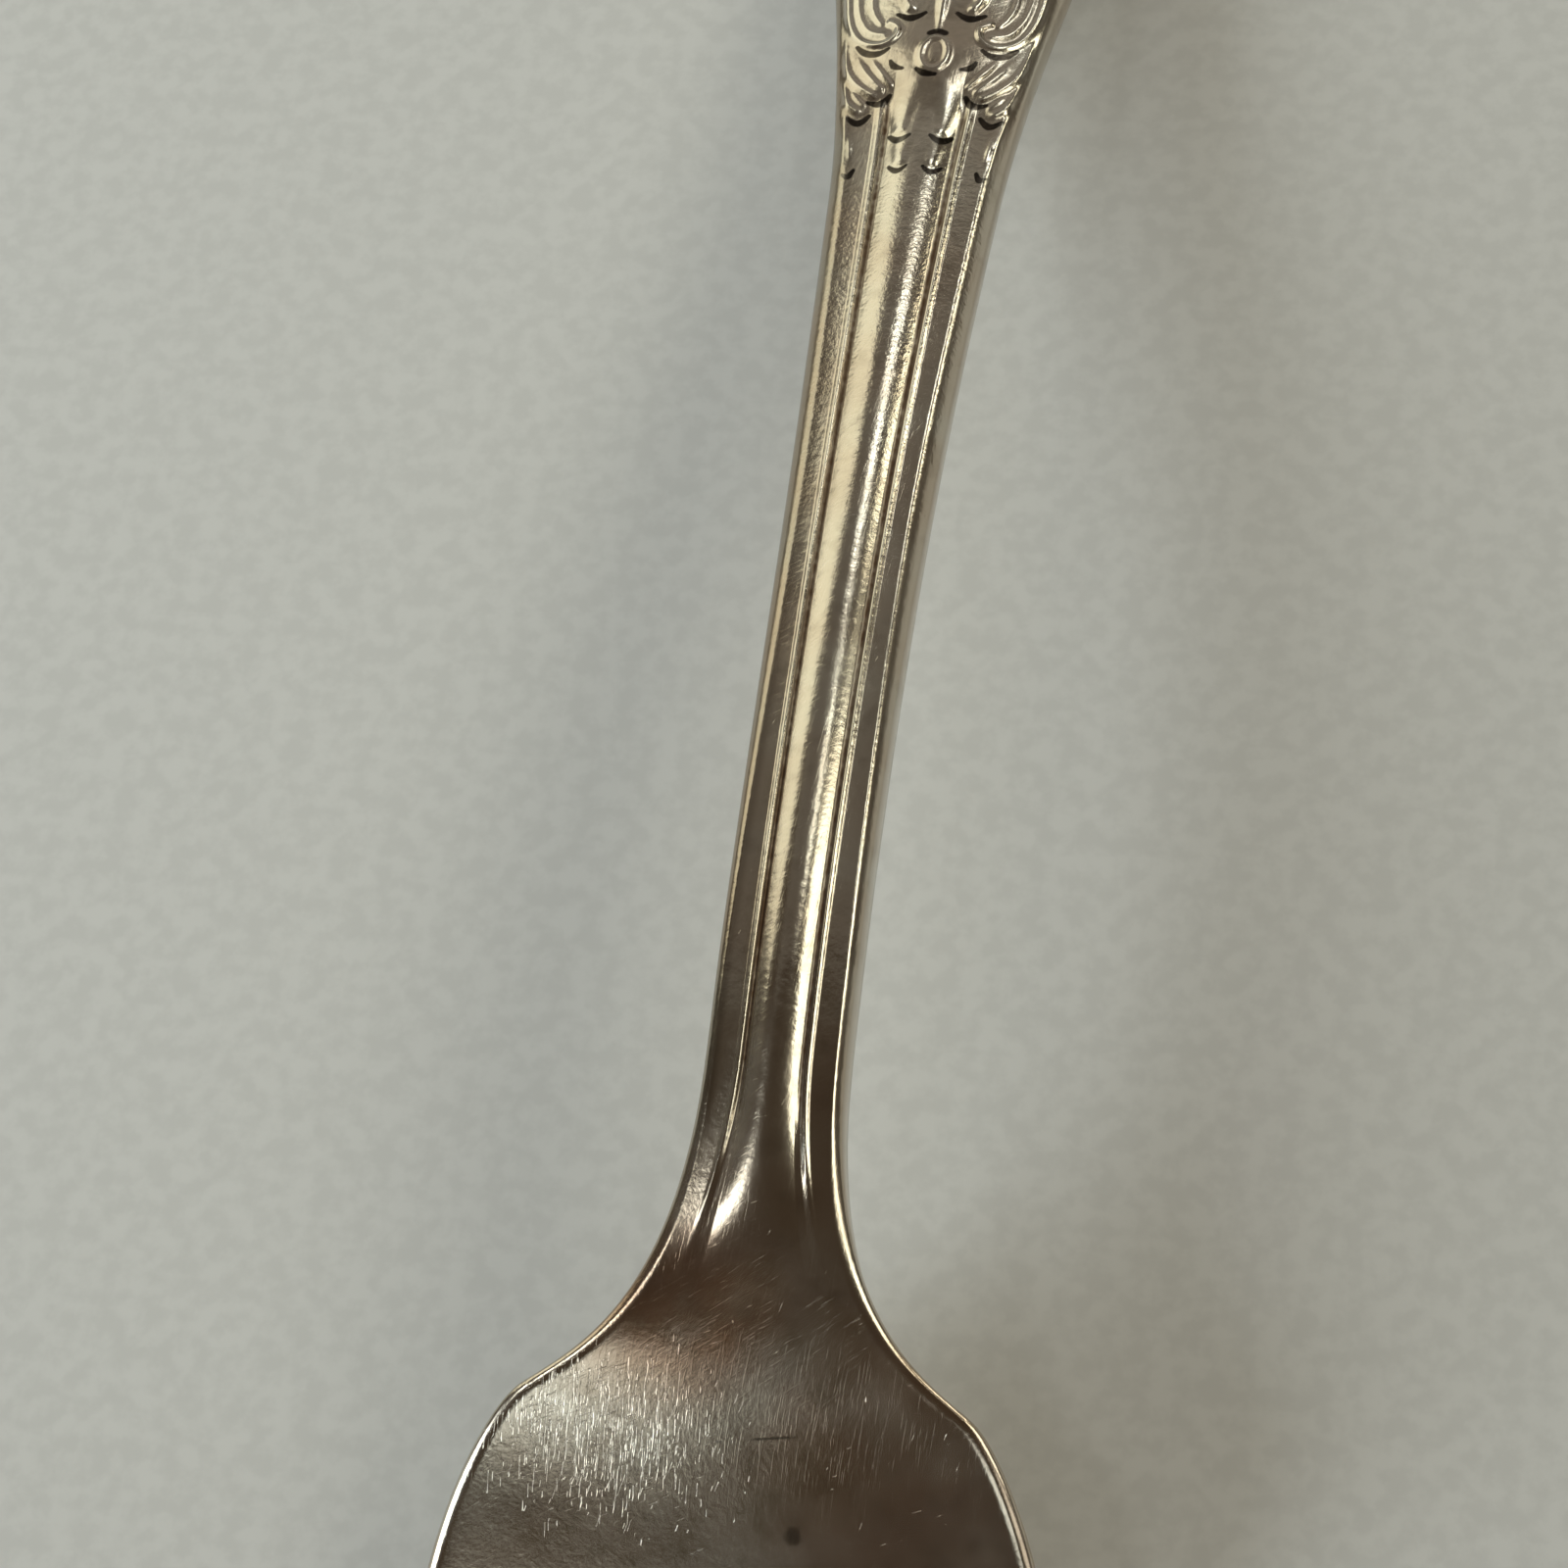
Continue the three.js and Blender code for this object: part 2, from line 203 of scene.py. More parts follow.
# %% Height of the fluted section
ROLL_SHARE = 0.36
ROLL_HEIGHT = 0.36
GROOVE_SHARE = 0.415
GROOVE_SPREAD = 0.055
GROOVE_DEPTH = 0.10
BEAD_SHARE = 0.488
BEAD_SPREAD = 0.060
BEAD_HEIGHT = 0.105
BEAD_TOP = 0.22  # share of the bead that is round, between two straight flanks
BORDER_START = 0.53
BORDER_LEVEL = 0.14
BORDER_FALL = 0.06
BORDER_HOLLOW = 0.03


def fluted_height(share, lines=1.0, beads=1.0):
    """Height above the rim at a share of the half-width. Lines and beads say how much of those is there."""
    share = np.abs(share)
    roll = ROLL_HEIGHT * np.maximum(0, 1 - (share / ROLL_SHARE) ** 2)
    groove = -GROOVE_DEPTH * ridge(share - GROOVE_SHARE, GROOVE_SPREAD)
    from_bead = np.minimum(1, np.abs(share - BEAD_SHARE) / BEAD_SPREAD)
    bead = BEAD_HEIGHT * (1 - bent_line(from_bead, BEAD_TOP))
    outward = np.clip((share - BORDER_START) / (1 - BORDER_START), 0, 1)
    border = BORDER_LEVEL - BORDER_FALL * outward - BORDER_HOLLOW * 4 * outward * (1 - outward)
    return border + roll + lines * groove + beads * bead


print("roll stands", round(float(fluted_height(0.0)), 2), "mm above the rim")

# %% Columns across the front and the back
# Columns are close together where the section turns quickly. They are shares of the half-width.
FRONT_STRETCHES = [(0, 26), (0.335, 9), (0.40, 6), (0.445, 11), (0.525, 22), (0.80, 16)]
BACK_COLUMNS = 17


def column_shares(stretches):
    ends = [start for start, _ in stretches[1:]] + [1.0]
    shares = [np.linspace(start, end, count, endpoint=False)
              for (start, count), end in zip(stretches, ends)]
    side = np.append(np.concatenate(shares), 1.0)
    return np.concatenate([-side[:0:-1], side])


front_columns = column_shares(FRONT_STRETCHES)
back_columns = np.sin(np.linspace(-math.pi / 2, math.pi / 2, 2 * BACK_COLUMNS + 1))
print(len(front_columns), "columns in front,", len(back_columns), "behind")


# %% How the section changes along the fork
# Places along the fork, in millimetres, where a feature starts, is full, fades and ends
FLUTE_START = -24.5
FLUTE_FULL = -15.5
FLUTE_FADE = 36.0
FLUTE_END = 42.0
LINE_START = -20.0
LINE_FULL = -14.5
BEAD_START = -24.0
BEAD_FULL = -17.0
LINE_FADE = 36.8
LINE_END = 38.8
SWELL = 0.45  # height of the extra crown under the ornament
SWELL_START = 33.5
SWELL_FULL = 40.0
SWELL_FADE = 44.0
SWELL_END = 54.0
BEAD_SHARE_AT_HEAD = 0.64
BEAD_DRIFT_START = -24.0
BEAD_DRIFT_END = -14.0


def bead_at(along):
    """Share of the half-width at which the bead line runs. It moves outwards on its way to the head."""
    moved_in = fade(along, BEAD_DRIFT_START, BEAD_DRIFT_END)
    return BEAD_SHARE_AT_HEAD + (BEAD_SHARE - BEAD_SHARE_AT_HEAD) * moved_in


def lines_at(along):
    return fade(along, LINE_START, LINE_FULL) * (1 - fade(along, LINE_FADE, LINE_END))


def bead_share_at(along):
    return fade(along, BEAD_START, BEAD_FULL) * (1 - fade(along, LINE_FADE, LINE_END))


def swell_at(along):
    """Extra crown under the ornament, where the front is rounder than the solids."""
    return SWELL * fade(along, SWELL_START, SWELL_FULL) * (1 - fade(along, SWELL_FADE, SWELL_END))


def flutes_at(along):
    return fade(along, FLUTE_START, FLUTE_FULL) * (1 - fade(along, FLUTE_FADE, FLUTE_END))


print("crown at neck", round(float(crown_line(run_of_plane(NECK_PLANE))[0]), 2), "mm")

# %% [markdown]
# ## Lofting a section
# A section is a closed skin: the front, two side walls, the back and a flat cap at each end, where it meets
# its neighbour. It could be cut out of the solids by a remesh, but then no column would follow the bead
# lines. So the skin is laid row by row along the outline, and each row follows the rule of the section.

# %% Slots between the tines
TINES = ["left_outer_tine", "left_inner_tine", "right_inner_tine", "right_outer_tine"]
TIP_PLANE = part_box("left_inner_tine")[0].y / MM
STRAIGHT_FROM_TIP = 8
STRAIGHT_FROM_ROOT = 4


def tine_taper(section):
    """Centre and width of a tine at its root and tip, from the straight stretch between them."""
    rings = rings_of(section)
    along = np.array([place for place, _ in rings])
    left = np.array([ring[:, 0].min() for _, ring in rings])
    right = np.array([ring[:, 0].max() for _, ring in rings])
    straight = (along > TIP_PLANE + STRAIGHT_FROM_TIP) & (along < ROOT_PLANE - STRAIGHT_FROM_ROOT)
    width_line = np.polyfit(along[straight], (right - left)[straight], 1)
    centre_line = np.polyfit(along[straight], (right + left)[straight] / 2, 1)
    ends = [ROOT_PLANE, TIP_PLANE]
    return np.polyval(centre_line, ends), np.polyval(width_line, ends), (right - left)[-1]


_, inner_widths, inner_root_ring = tine_taper("right_inner_tine")
SLOT_RADIUS = (inner_root_ring - inner_widths[0]) / 2
SLOT_CENTRES = [-inner_root_ring, 0.0, inner_root_ring]
print("slot radius", round(SLOT_RADIUS, 2), "mm, slots at", np.round(SLOT_CENTRES, 2))

# %% Edges of the front and the back
HEAD_EDGE = 0.75
HEAD_EDGE_DROP = 0.45
BACK_EDGE_RISE = 0.35
FULL_BEVEL = 0.75  # share of the stem's edge that is a straight slope
BEVEL_START = 0.50
LEFT_BEVEL = 0.3  # the left edge is worn round and keeps this share of its bevel
# Where a change of the front's edge starts and ends, and its width, drop and bevel from there on
EDGE_CHANGES = [
    (NECK_PLANE, STEM_PLANE, 0.46, 0.46, FULL_BEVEL),
    (STEM_PLANE, 18.0, 0.85, 0.88, FULL_BEVEL),
    (33.0, 41.0, 0.50, 0.42, FULL_BEVEL),
]


def edge_turn(distance, width, bevel=0.0):
    """How far an edge has dropped: 0 inside its width and 1 on the outline. Bevel is the straight share."""
    past = np.clip(1 - distance / width, 0, 1)
    return bevel * bent_line(past, BEVEL_START) + (1 - bevel) * (1 - np.sqrt(1 - past * past))


def front_edge(along):
    """Width, drop and straight share of the front's edge."""
    edge = [HEAD_EDGE, HEAD_EDGE_DROP, 0.0]
    for start, end, *after in EDGE_CHANGES:
        changed = fade(along, start, end)
        edge = [old + (new - old) * changed for old, new in zip(edge, after)]
    return edge


def distance_to_slots(across, along):
    """Distance from a slot's round root, for points beside or behind it."""
    behind = along - (ROOT_PLANE - SLOT_RADIUS)
    away = [np.hypot(across - centre, behind) - SLOT_RADIUS for centre in SLOT_CENTRES]
    return np.minimum.reduce(away)


stem_edge = [round(float(value), 2) for value in front_edge(STEM_PLANE)]
print("width, drop and bevel where the stem starts", stem_edge)


# %% Where the skin lies
def lay_rows(runs):
    """Front and back at these runs as grids of points, in millimetres.

    The third result is how far each point of the front is from the edge.
    """
    run = np.asarray(runs)[:, None]
    along, along_slope = along_line(run)
    half, half_slope = half_line(run)
    square_on = np.hypot(1, half_slope / along_slope)
    rim = rim_line(run)[0]
    bead = bead_at(along)
    share = np.abs(front_columns)[None, :]
    inner = share * bead / BEAD_SHARE
    outer = bead + (share - BEAD_SHARE) * (1 - bead) / (1 - BEAD_SHARE)
    across = np.sign(front_columns) * half * np.where(share < BEAD_SHARE, inner, outer)
    inside = half - np.minimum(SOLID_EDGE, MOST_EDGE_SHARE * half)
    bulge = 1 - np.clip(np.abs(across) / inside, 0, 1) ** 2
    flutes = flutes_at(along)
    fluted = fluted_height(front_columns, lines_at(along), bead_share_at(along))
    crown = crown_line(run)[0] + swell_at(along)
    height = rim + (1 - flutes) * crown * bulge + flutes * fluted
    distance = np.minimum((half - np.abs(across)) / square_on, distance_to_slots(across, along))
    edge_width, edge_drop, bevel = front_edge(along)
    bevel = bevel * np.where(front_columns < 0, LEFT_BEVEL, 1)
    height = height - edge_drop * edge_turn(distance, edge_width, bevel)
    front = np.stack([across, np.broadcast_to(along, across.shape), height], axis=-1)

    across = half * back_columns
    bulge = np.clip(np.abs(across) / inside, 0, 1) ** 2
    middle = back_line(run)[0]
    height = middle + (back_rim_line(run)[0] - middle) * bulge
    back_distance = np.minimum((half - np.abs(across)) / square_on, distance_to_slots(across, along))
    height = np.maximum(0, height + BACK_EDGE_RISE * edge_turn(back_distance, HEAD_EDGE))
    back = np.stack([across, np.broadcast_to(along, across.shape), height], axis=-1)
    return front, back, distance


# %% A closed mesh from front and back
def part_cap_from_skin(mesh, rows, size):
    """Marks the border of both caps sharp, so that the caps don't bend the shading of the skin."""
    ends = np.zeros(len(mesh.edges) * 2, dtype=np.int32)
    mesh.edges.foreach_get("vertices", ends)
    row_of_end = ends.reshape(-1, 2) // size
    along_row = row_of_end[:, 0] == row_of_end[:, 1]
    on_cap = (row_of_end[:, 0] == 0) | (row_of_end[:, 0] == rows - 1)
    sharp = mesh.attributes.new("sharp_edge", "BOOLEAN", "EDGE")
    sharp.data.foreach_set("value", along_row & on_cap)


def skin_mesh(name, front, back):
    ring = np.concatenate([front, back[:, ::-1]], axis=1)
    rows, size = ring.shape[:2]
    index = np.arange(rows * size).reshape(rows, size)
    beside = np.roll(index, -1, axis=1)
    quads = np.stack([index[:-1], beside[:-1], beside[1:], index[1:]], axis=-1).reshape(-1, 4)
    caps = [index[0, ::-1].tolist(), index[-1].tolist()]
    mesh = bpy.data.meshes.new(name)
    mesh.from_pydata((ring.reshape(-1, 3) * MM).tolist(), [], quads.tolist() + caps)
    smooth = np.ones(len(mesh.polygons), dtype=bool)
    smooth[-len(caps):] = False
    mesh.polygons.foreach_set("use_smooth", smooth)
    mesh.update()
    part_cap_from_skin(mesh, rows, size)
    piece = bpy.data.objects.new(name, mesh)
    bpy.context.scene.collection.objects.link(piece)
    return piece


def store(piece, name, front_values, back_shape):
    """Keeps a value for each point of the front, and zero for the back, on the mesh."""
    values = np.concatenate([front_values, np.zeros(back_shape)], axis=1)
    attribute = piece.data.attributes.new(name, "FLOAT", "POINT")
    attribute.data.foreach_set("value", values.astype(np.float32).ravel())


# %% [markdown]
# ## Hollows and ridges
# Silver goes black where no cloth reaches and stays bright where it is rubbed, and the ridges are also
# painted lighter as a painted highlight. A material can't see that on its own in a way that survives an
# export, so the points of the front keep it as numbers. How far a point lies below or above its
# neighbourhood is the difference between the surface and a smoothed copy of it. Two more numbers say where
# the bevelled edge is painted a darker grey, and which points are on the front. The darker band is wider on
# the left, where the edge is worn rounder.

# %% Measure hollows and ridges
SMOOTHING = 30
HOLLOW_DEPTH = 0.14
RIDGE_HEIGHT = 0.06
GROOVE_SHADE = 0.6
ORNAMENT_LEAD = 4.0  # hollows count from this far before the lines of the stem fade
EDGE_START = 0.45  # from here to the end, in widths of the edge, hollows and ridges begin to count
EDGE_END = 1.0
EDGE_DARK_START = 0.4  # from here to the end, in widths of the edge, the darker band thins out
EDGE_DARK_END = 0.85
LEFT_EDGE_DARK_WIDTH = 2.0  # times the width on the right


def smoothed(height, steps):
    for _ in range(steps):
        wide = np.pad(height, 1, mode="reflect", reflect_type="odd")
        height = (wide[:-2, 1:-1] + wide[2:, 1:-1] + wide[1:-1, :-2] + wide[1:-1, 2:]) / 4
    return height


def mark_wear(piece, front, back, distance):
    """Stores the hollows and ridges of the front, leaving out its edge, and where that edge is painted
    darker.
    """
    along = front[..., 1]
    edge_width, _, bevel = front_edge(along)
    from_edge = distance / edge_width
    inside = fade(from_edge, EDGE_START, EDGE_END)
    below = smoothed(front[..., 2], SMOOTHING) - front[..., 2]
    ornamented = fade(along, LINE_FADE - ORNAMENT_LEAD, LINE_FADE)
    in_groove = ridge(np.abs(front_columns) - GROOVE_SHARE, GROOVE_SPREAD)
    groove = GROOVE_SHADE * lines_at(along) * in_groove
    hollow = np.maximum(groove, ornamented * np.clip(below / HOLLOW_DEPTH, 0, 1))
    raised = np.clip(-below / RIDGE_HEIGHT, 0, 1)
    edge_dark_reach = np.where(front[..., 0] < 0, from_edge / LEFT_EDGE_DARK_WIDTH, from_edge)
    edge_dark = bevel / FULL_BEVEL * (1 - fade(edge_dark_reach, EDGE_DARK_START, EDGE_DARK_END))
    on_front = np.ones(front.shape[:2])
    marks = {"hollow": hollow * inside, "ridge": raised * inside, "rim": edge_dark, "front": on_front}
    for name, values in marks.items():
        store(piece, name, values, back.shape[:2])


# %% Stem, neck and head plate
# First and last plane of a section, and the number of its rows
PLAIN_SECTIONS = {
    "fluted_stem": (STEM_PLANE, END_PLANE, 230),
    "neck": (NECK_PLANE, STEM_PLANE, 96),
    "head_plate": (ROOT_PLANE, NECK_PLANE, 110),
}
pieces = {}
for section, (start_plane, end_plane, row_count) in PLAIN_SECTIONS.items():
    runs = np.linspace(run_of_plane(start_plane), run_of_plane(end_plane), row_count + 1)
    front, back, distance = lay_rows(runs)
    pieces[section] = skin_mesh("silver_" + section, front, back)
    mark_wear(pieces[section], front, back, distance)
    print(pieces[section].name, len(pieces[section].data.polygons), "faces")

# %% [markdown]
# ## Node trees in a few words
# Geometry Nodes and materials are both built from nodes. A few helpers keep the trees readable: they feed a
# socket, make a node or a sum, start a tree, end it with real geometry and its material, and run a finished
# tree on an object and turn the result into a plain mesh.

# %% Helpers for node trees
def feed(tree, socket, value):
    if isinstance(value, bpy.types.NodeSocket):
        tree.links.new(value, socket)
    else:
        socket.default_value = value


def add_node(tree, kind, inputs=None, **settings):
    made = tree.nodes.new(kind)
    for name, value in settings.items():
        setattr(made, name, value)
    for name, value in (inputs or {}).items():
        feed(tree, made.inputs[name], value)
    return made


def reckon(tree, operation, *values):
    made = tree.nodes.new("ShaderNodeMath")
    made.operation = operation
    for socket, value in zip(made.inputs, values):
        feed(tree, socket, value)
    return made.outputs[0]


def new_shape_tree(name, inputs):
    """A Geometry Nodes tree with the named inputs, its input node and its output node."""
    tree = bpy.data.node_groups.new(name, "GeometryNodeTree")
    tree.interface.new_socket("Geometry", in_out="OUTPUT", socket_type="NodeSocketGeometry")
    tree.interface.new_socket("Geometry", in_out="INPUT", socket_type="NodeSocketGeometry")
    for label, kind in inputs.items():
        tree.interface.new_socket(label, in_out="INPUT", socket_type="NodeSocket" + kind)
    return tree, tree.nodes.new("NodeGroupInput").outputs, tree.nodes.new("NodeGroupOutput").inputs


def end_tree(tree, geometry, material, socket):
    real = add_node(tree, "GeometryNodeRealizeInstances", {"Geometry": geometry})
    coated = add_node(tree, "GeometryNodeSetMaterial", {"Geometry": real.outputs[0], "Material": material})
    feed(tree, socket, coated.outputs[0])


def run_tree(piece, tree, values):
    """Runs a tree on an object with the given inputs and keeps the result as its plain mesh."""
    modifier = piece.modifiers.new(tree.name, "NODES")
    modifier.node_group = tree
    for item in tree.interface.items_tree:
        if item.in_out == "INPUT" and item.name in values:
            modifier[item.identifier] = values[item.name]
    graph = bpy.context.evaluated_depsgraph_get()
    made = bpy.data.meshes.new_from_object(
        piece.evaluated_get(graph), preserve_all_data_layers=True, depsgraph=graph)
    piece.modifiers.remove(modifier)
    made.name = piece.name
    piece.data = made
    return piece


# %% [markdown]
# ## Tines
# Four tines follow one rule: each runs along the same bent spine, tapers to its tip, ends in a rounded
# point and widens at its root until it meets its neighbour round the end of the slot. They could be
# modelled once and copied, but each has its own lean and only the inner ones have a slot on both sides. So
# a Geometry Nodes tree holds the rule, and its named inputs hold what differs.

# %% Spine of the tines
SPINE_POINTS = 160
spine_rings = rings_of("right_inner_tine")
spine_along = np.array([along for along, _ in spine_rings])
front_spline = natural_spline(spine_along, np.array([ring[:, 2].max() for _, ring in spine_rings]))
back_spline = natural_spline(spine_along, np.array([ring[:, 2].min() for _, ring in spine_rings]))
spine_places = np.linspace(ROOT_PLANE, TIP_PLANE, SPINE_POINTS)
spine_front = front_spline(spine_places)[0]
spine_wall = spine_front - np.maximum(0, back_spline(spine_places)[0])
spine_mesh = bpy.data.meshes.new("tine_spine")
spine_points = np.stack([np.zeros(SPINE_POINTS), spine_places, spine_front], axis=1) * MM
spine_mesh.from_pydata(spine_points.tolist(), [(i, i + 1) for i in range(SPINE_POINTS - 1)], [])
wall_attribute = spine_mesh.attributes.new("wall", "FLOAT", "POINT")
wall_attribute.data.foreach_set("value", (spine_wall * MM).astype(np.float32))
tine_spine = bpy.data.objects.new("tine_spine", spine_mesh)
bpy.context.scene.collection.objects.link(tine_spine)
print("tine wall from", round(spine_wall[0], 2), "to", round(spine_wall[-1], 2), "mm")

# %% Tree of a tine: inputs and sums
TINE_INPUTS = {
    "Spine": "Object", "Rows": "Int", "Section Points": "Int", "Root Plane": "Float", "Tip Plane": "Float",
    "Root Centre": "Float", "Tip Centre": "Float", "Root Width": "Float", "Tip Width": "Float",
    "Slot Radius": "Float", "Left Slot": "Float", "Right Slot": "Float", "Point Length": "Float",
    "Blunt Share": "Float", "Edge Width": "Float", "Front Drop": "Float", "Back Rise": "Float",
    "Material": "Material",
}
tine_tree, given, result = new_shape_tree("tapered tine", TINE_INPUTS)


def tine(operation, *values):
    return reckon(tine_tree, operation, *values)


def captured(curve, name):
    """Keeps each point's place along its curve, so that the mesh made from it still knows it."""
    parameter = add_node(tine_tree, "GeometryNodeSplineParameter")
    capture = add_node(tine_tree, "GeometryNodeCaptureAttribute")
    capture.capture_items.new("FLOAT", name)
    feed(tine_tree, capture.inputs[0], curve)
    feed(tine_tree, capture.inputs[1], parameter.outputs["Factor"])
    return capture.outputs[0], capture.outputs[1]


def eased(share):
    """Closer steps at both ends: half of one minus the cosine of a half turn."""
    return tine("SUBTRACT", 0.5, tine("MULTIPLY", 0.5, tine("COSINE", tine("MULTIPLY", math.pi, share))))


def circle_side(share):
    """The other side of a right triangle with long side 1."""
    return tine("SQRT", tine("MAXIMUM", 0.0, tine("SUBTRACT", 1.0, tine("MULTIPLY", share, share))))


def between(start, end, share):
    return tine("ADD", start, tine("MULTIPLY", tine("SUBTRACT", end, start), share))


print("a tine has", len(TINE_INPUTS), "inputs")

# %% Tree of a tine: a tube that follows the spine
line = add_node(tine_tree, "GeometryNodeCurvePrimitiveLine")
rows = add_node(tine_tree, "GeometryNodeResampleCurve", {"Curve": line.outputs[0], "Count": given["Rows"]})
path, along_share = captured(rows.outputs[0], "Along")
circle = add_node(tine_tree, "GeometryNodeCurvePrimitiveCircle", {"Resolution": given["Section Points"]})
section_curve, round_share = captured(circle.outputs["Curve"], "Round")
tube = add_node(tine_tree, "GeometryNodeCurveToMesh",
                {"Curve": path, "Profile Curve": section_curve, "Fill Caps": True})

spine_info = add_node(tine_tree, "GeometryNodeObjectInfo", {"Object": given["Spine"]})
spine_curve = add_node(tine_tree, "GeometryNodeMeshToCurve", {"Mesh": spine_info.outputs["Geometry"]})
wall_name = add_node(tine_tree, "GeometryNodeInputNamedAttribute", {"Name": "wall"}, data_type="FLOAT")
sample = add_node(tine_tree, "GeometryNodeSampleCurve", {
    "Curves": spine_curve.outputs[0], "Value": wall_name.outputs["Attribute"], "Factor": eased(along_share),
}, mode="FACTOR", data_type="FLOAT")
spot = add_node(tine_tree, "ShaderNodeSeparateXYZ", {"Vector": sample.outputs["Position"]})
along_y = spot.outputs["Y"]
front_z = spot.outputs["Z"]
wall = sample.outputs["Value"]
print("tine tree has", len(tine_tree.nodes), "nodes with its tube")

# %% Tree of a tine: plan
# The taper, the rounded point and the widening round the ends of the slots
FRONT_SHARE = 0.501  # the first half of the section is the front, and the last point of that half is on it
share = tine("DIVIDE", tine("SUBTRACT", given["Root Plane"], along_y),
             tine("SUBTRACT", given["Root Plane"], given["Tip Plane"]))
width = between(given["Root Width"], given["Tip Width"], share)
centre = between(given["Root Centre"], given["Tip Centre"], share)
point_start = tine("ADD", given["Tip Plane"], given["Point Length"])
past_point = tine("MAXIMUM", 0.0, tine("SUBTRACT", point_start, along_y))
past_point = tine("DIVIDE", past_point, given["Point Length"])
pointed = circle_side(tine("MULTIPLY", past_point, circle_side(given["Blunt Share"])))
half_width = tine("MULTIPLY", tine("MULTIPLY", width, 0.5), pointed)
slot_centre = tine("SUBTRACT", given["Root Plane"], given["Slot Radius"])
into_root = tine("MAXIMUM", 0.0, tine("SUBTRACT", along_y, slot_centre))
root_gap = circle_side(tine("DIVIDE", into_root, given["Slot Radius"]))
flare = tine("MULTIPLY", given["Slot Radius"], tine("SUBTRACT", 1.0, root_gap))
straight_left = tine("SUBTRACT", centre, half_width)
straight_right = tine("ADD", centre, half_width)
left = tine("SUBTRACT", straight_left, tine("MULTIPLY", flare, given["Left Slot"]))
right_side = tine("ADD", straight_right, tine("MULTIPLY", flare, given["Right Slot"]))
from_middle = tine("ABSOLUTE", tine("SUBTRACT", tine("MULTIPLY", 2.0, round_share), 1.0))
across_x = between(left, right_side, eased(tine("SUBTRACT", 1.0, from_middle)))
is_front = tine("LESS_THAN", round_share, FRONT_SHARE)
print("tine tree has", len(tine_tree.nodes), "nodes with its plan")

# %% Tree of a tine: edge and height
# Distance from the edge, measured round the end of a slot where there is one
root_half = tine("MULTIPLY", given["Root Width"], 0.5)


def edge_distance(outward, side, straight_side, has_slot):
    axis = tine("ADD", given["Root Centre"],
                tine("MULTIPLY", outward, tine("ADD", root_half, given["Slot Radius"])))
    to_axis = tine("SUBTRACT", across_x, axis)
    squares = tine("ADD", tine("MULTIPLY", to_axis, to_axis), tine("MULTIPLY", into_root, into_root))
    gap = tine("ABSOLUTE", tine("SUBTRACT", straight_side, axis))
    round_slot = tine("SUBTRACT", tine("SQRT", squares), gap)
    plain = tine("ABSOLUTE", tine("SUBTRACT", across_x, side))
    return between(plain, round_slot, has_slot)


to_edge = tine("MINIMUM", edge_distance(-1.0, left, straight_left, given["Left Slot"]),
               edge_distance(1.0, right_side, straight_right, given["Right Slot"]))
edge = tine("MINIMUM", given["Edge Width"], tine("MULTIPLY", MOST_EDGE_SHARE, half_width))
past_edge = tine("SUBTRACT", 1.0, tine("DIVIDE", to_edge, edge))
past_edge = tine("MINIMUM", 1.0, tine("MAXIMUM", 0.0, past_edge))
turned = tine("SUBTRACT", 1.0, circle_side(past_edge))
most = tine("MULTIPLY", MOST_EDGE_SHARE, wall)
drop = tine("MULTIPLY", turned, tine("MINIMUM", given["Front Drop"], most))
rise = tine("MULTIPLY", turned, tine("MINIMUM", given["Back Rise"], most))
front_height = tine("SUBTRACT", front_z, drop)
back_height = tine("MAXIMUM", 0.0, tine("ADD", tine("SUBTRACT", front_z, wall), rise))
height = between(back_height, front_height, is_front)

place = add_node(tine_tree, "ShaderNodeCombineXYZ", {"X": across_x, "Y": along_y, "Z": height})
bent = add_node(tine_tree, "GeometryNodeSetPosition",
                {"Geometry": tube.outputs[0], "Position": place.outputs[0]})
smooth = add_node(tine_tree, "GeometryNodeSetShadeSmooth", {"Geometry": bent.outputs[0]})
end_tree(tine_tree, smooth.outputs[0], given["Material"], result["Geometry"])
print("tine tree has", len(tine_tree.nodes), "nodes")

# %% Four tines from one tree
silver = bpy.data.materials.new("worn_silver_plate")
TINE_ROWS = 150
TINE_SECTION_POINTS = 112
POINT_LENGTH = 5.0
BLUNT_SHARE = 0.06
for order, section in enumerate(TINES):
    centres, widths, _ = tine_taper(section)
    piece = bpy.data.objects.new("silver_" + section, bpy.data.meshes.new(section))
    bpy.context.scene.collection.objects.link(piece)
    run_tree(piece, tine_tree, {
        "Spine": tine_spine, "Rows": TINE_ROWS, "Section Points": TINE_SECTION_POINTS, "Material": silver,
        "Root Plane": ROOT_PLANE * MM, "Tip Plane": TIP_PLANE * MM,
        "Root Centre": centres[0] * MM, "Tip Centre": centres[1] * MM,
        "Root Width": widths[0] * MM, "Tip Width": widths[1] * MM, "Slot Radius": SLOT_RADIUS * MM,
        "Left Slot": float(order > 0), "Right Slot": float(order < len(TINES) - 1),
        "Point Length": POINT_LENGTH * MM, "Blunt Share": BLUNT_SHARE, "Edge Width": HEAD_EDGE * MM,
        "Front Drop": HEAD_EDGE_DROP * MM, "Back Rise": BACK_EDGE_RISE * MM,
    })
    pieces[section] = piece
    print(piece.name, len(piece.data.polygons), "faces, root", np.round(widths[0], 2), "mm wide")
bpy.data.objects.remove(tine_spine)

# %% [markdown]
# ## Handle end
# The handle end widens like a narrow shield. Its middle swells a little, a low border runs round it inside
# the rounded rim, and the roll and the bead lines of the stem run up under the ornament. The blank of this
# section is laid like the other sections, with closer rows where the camera sees it.

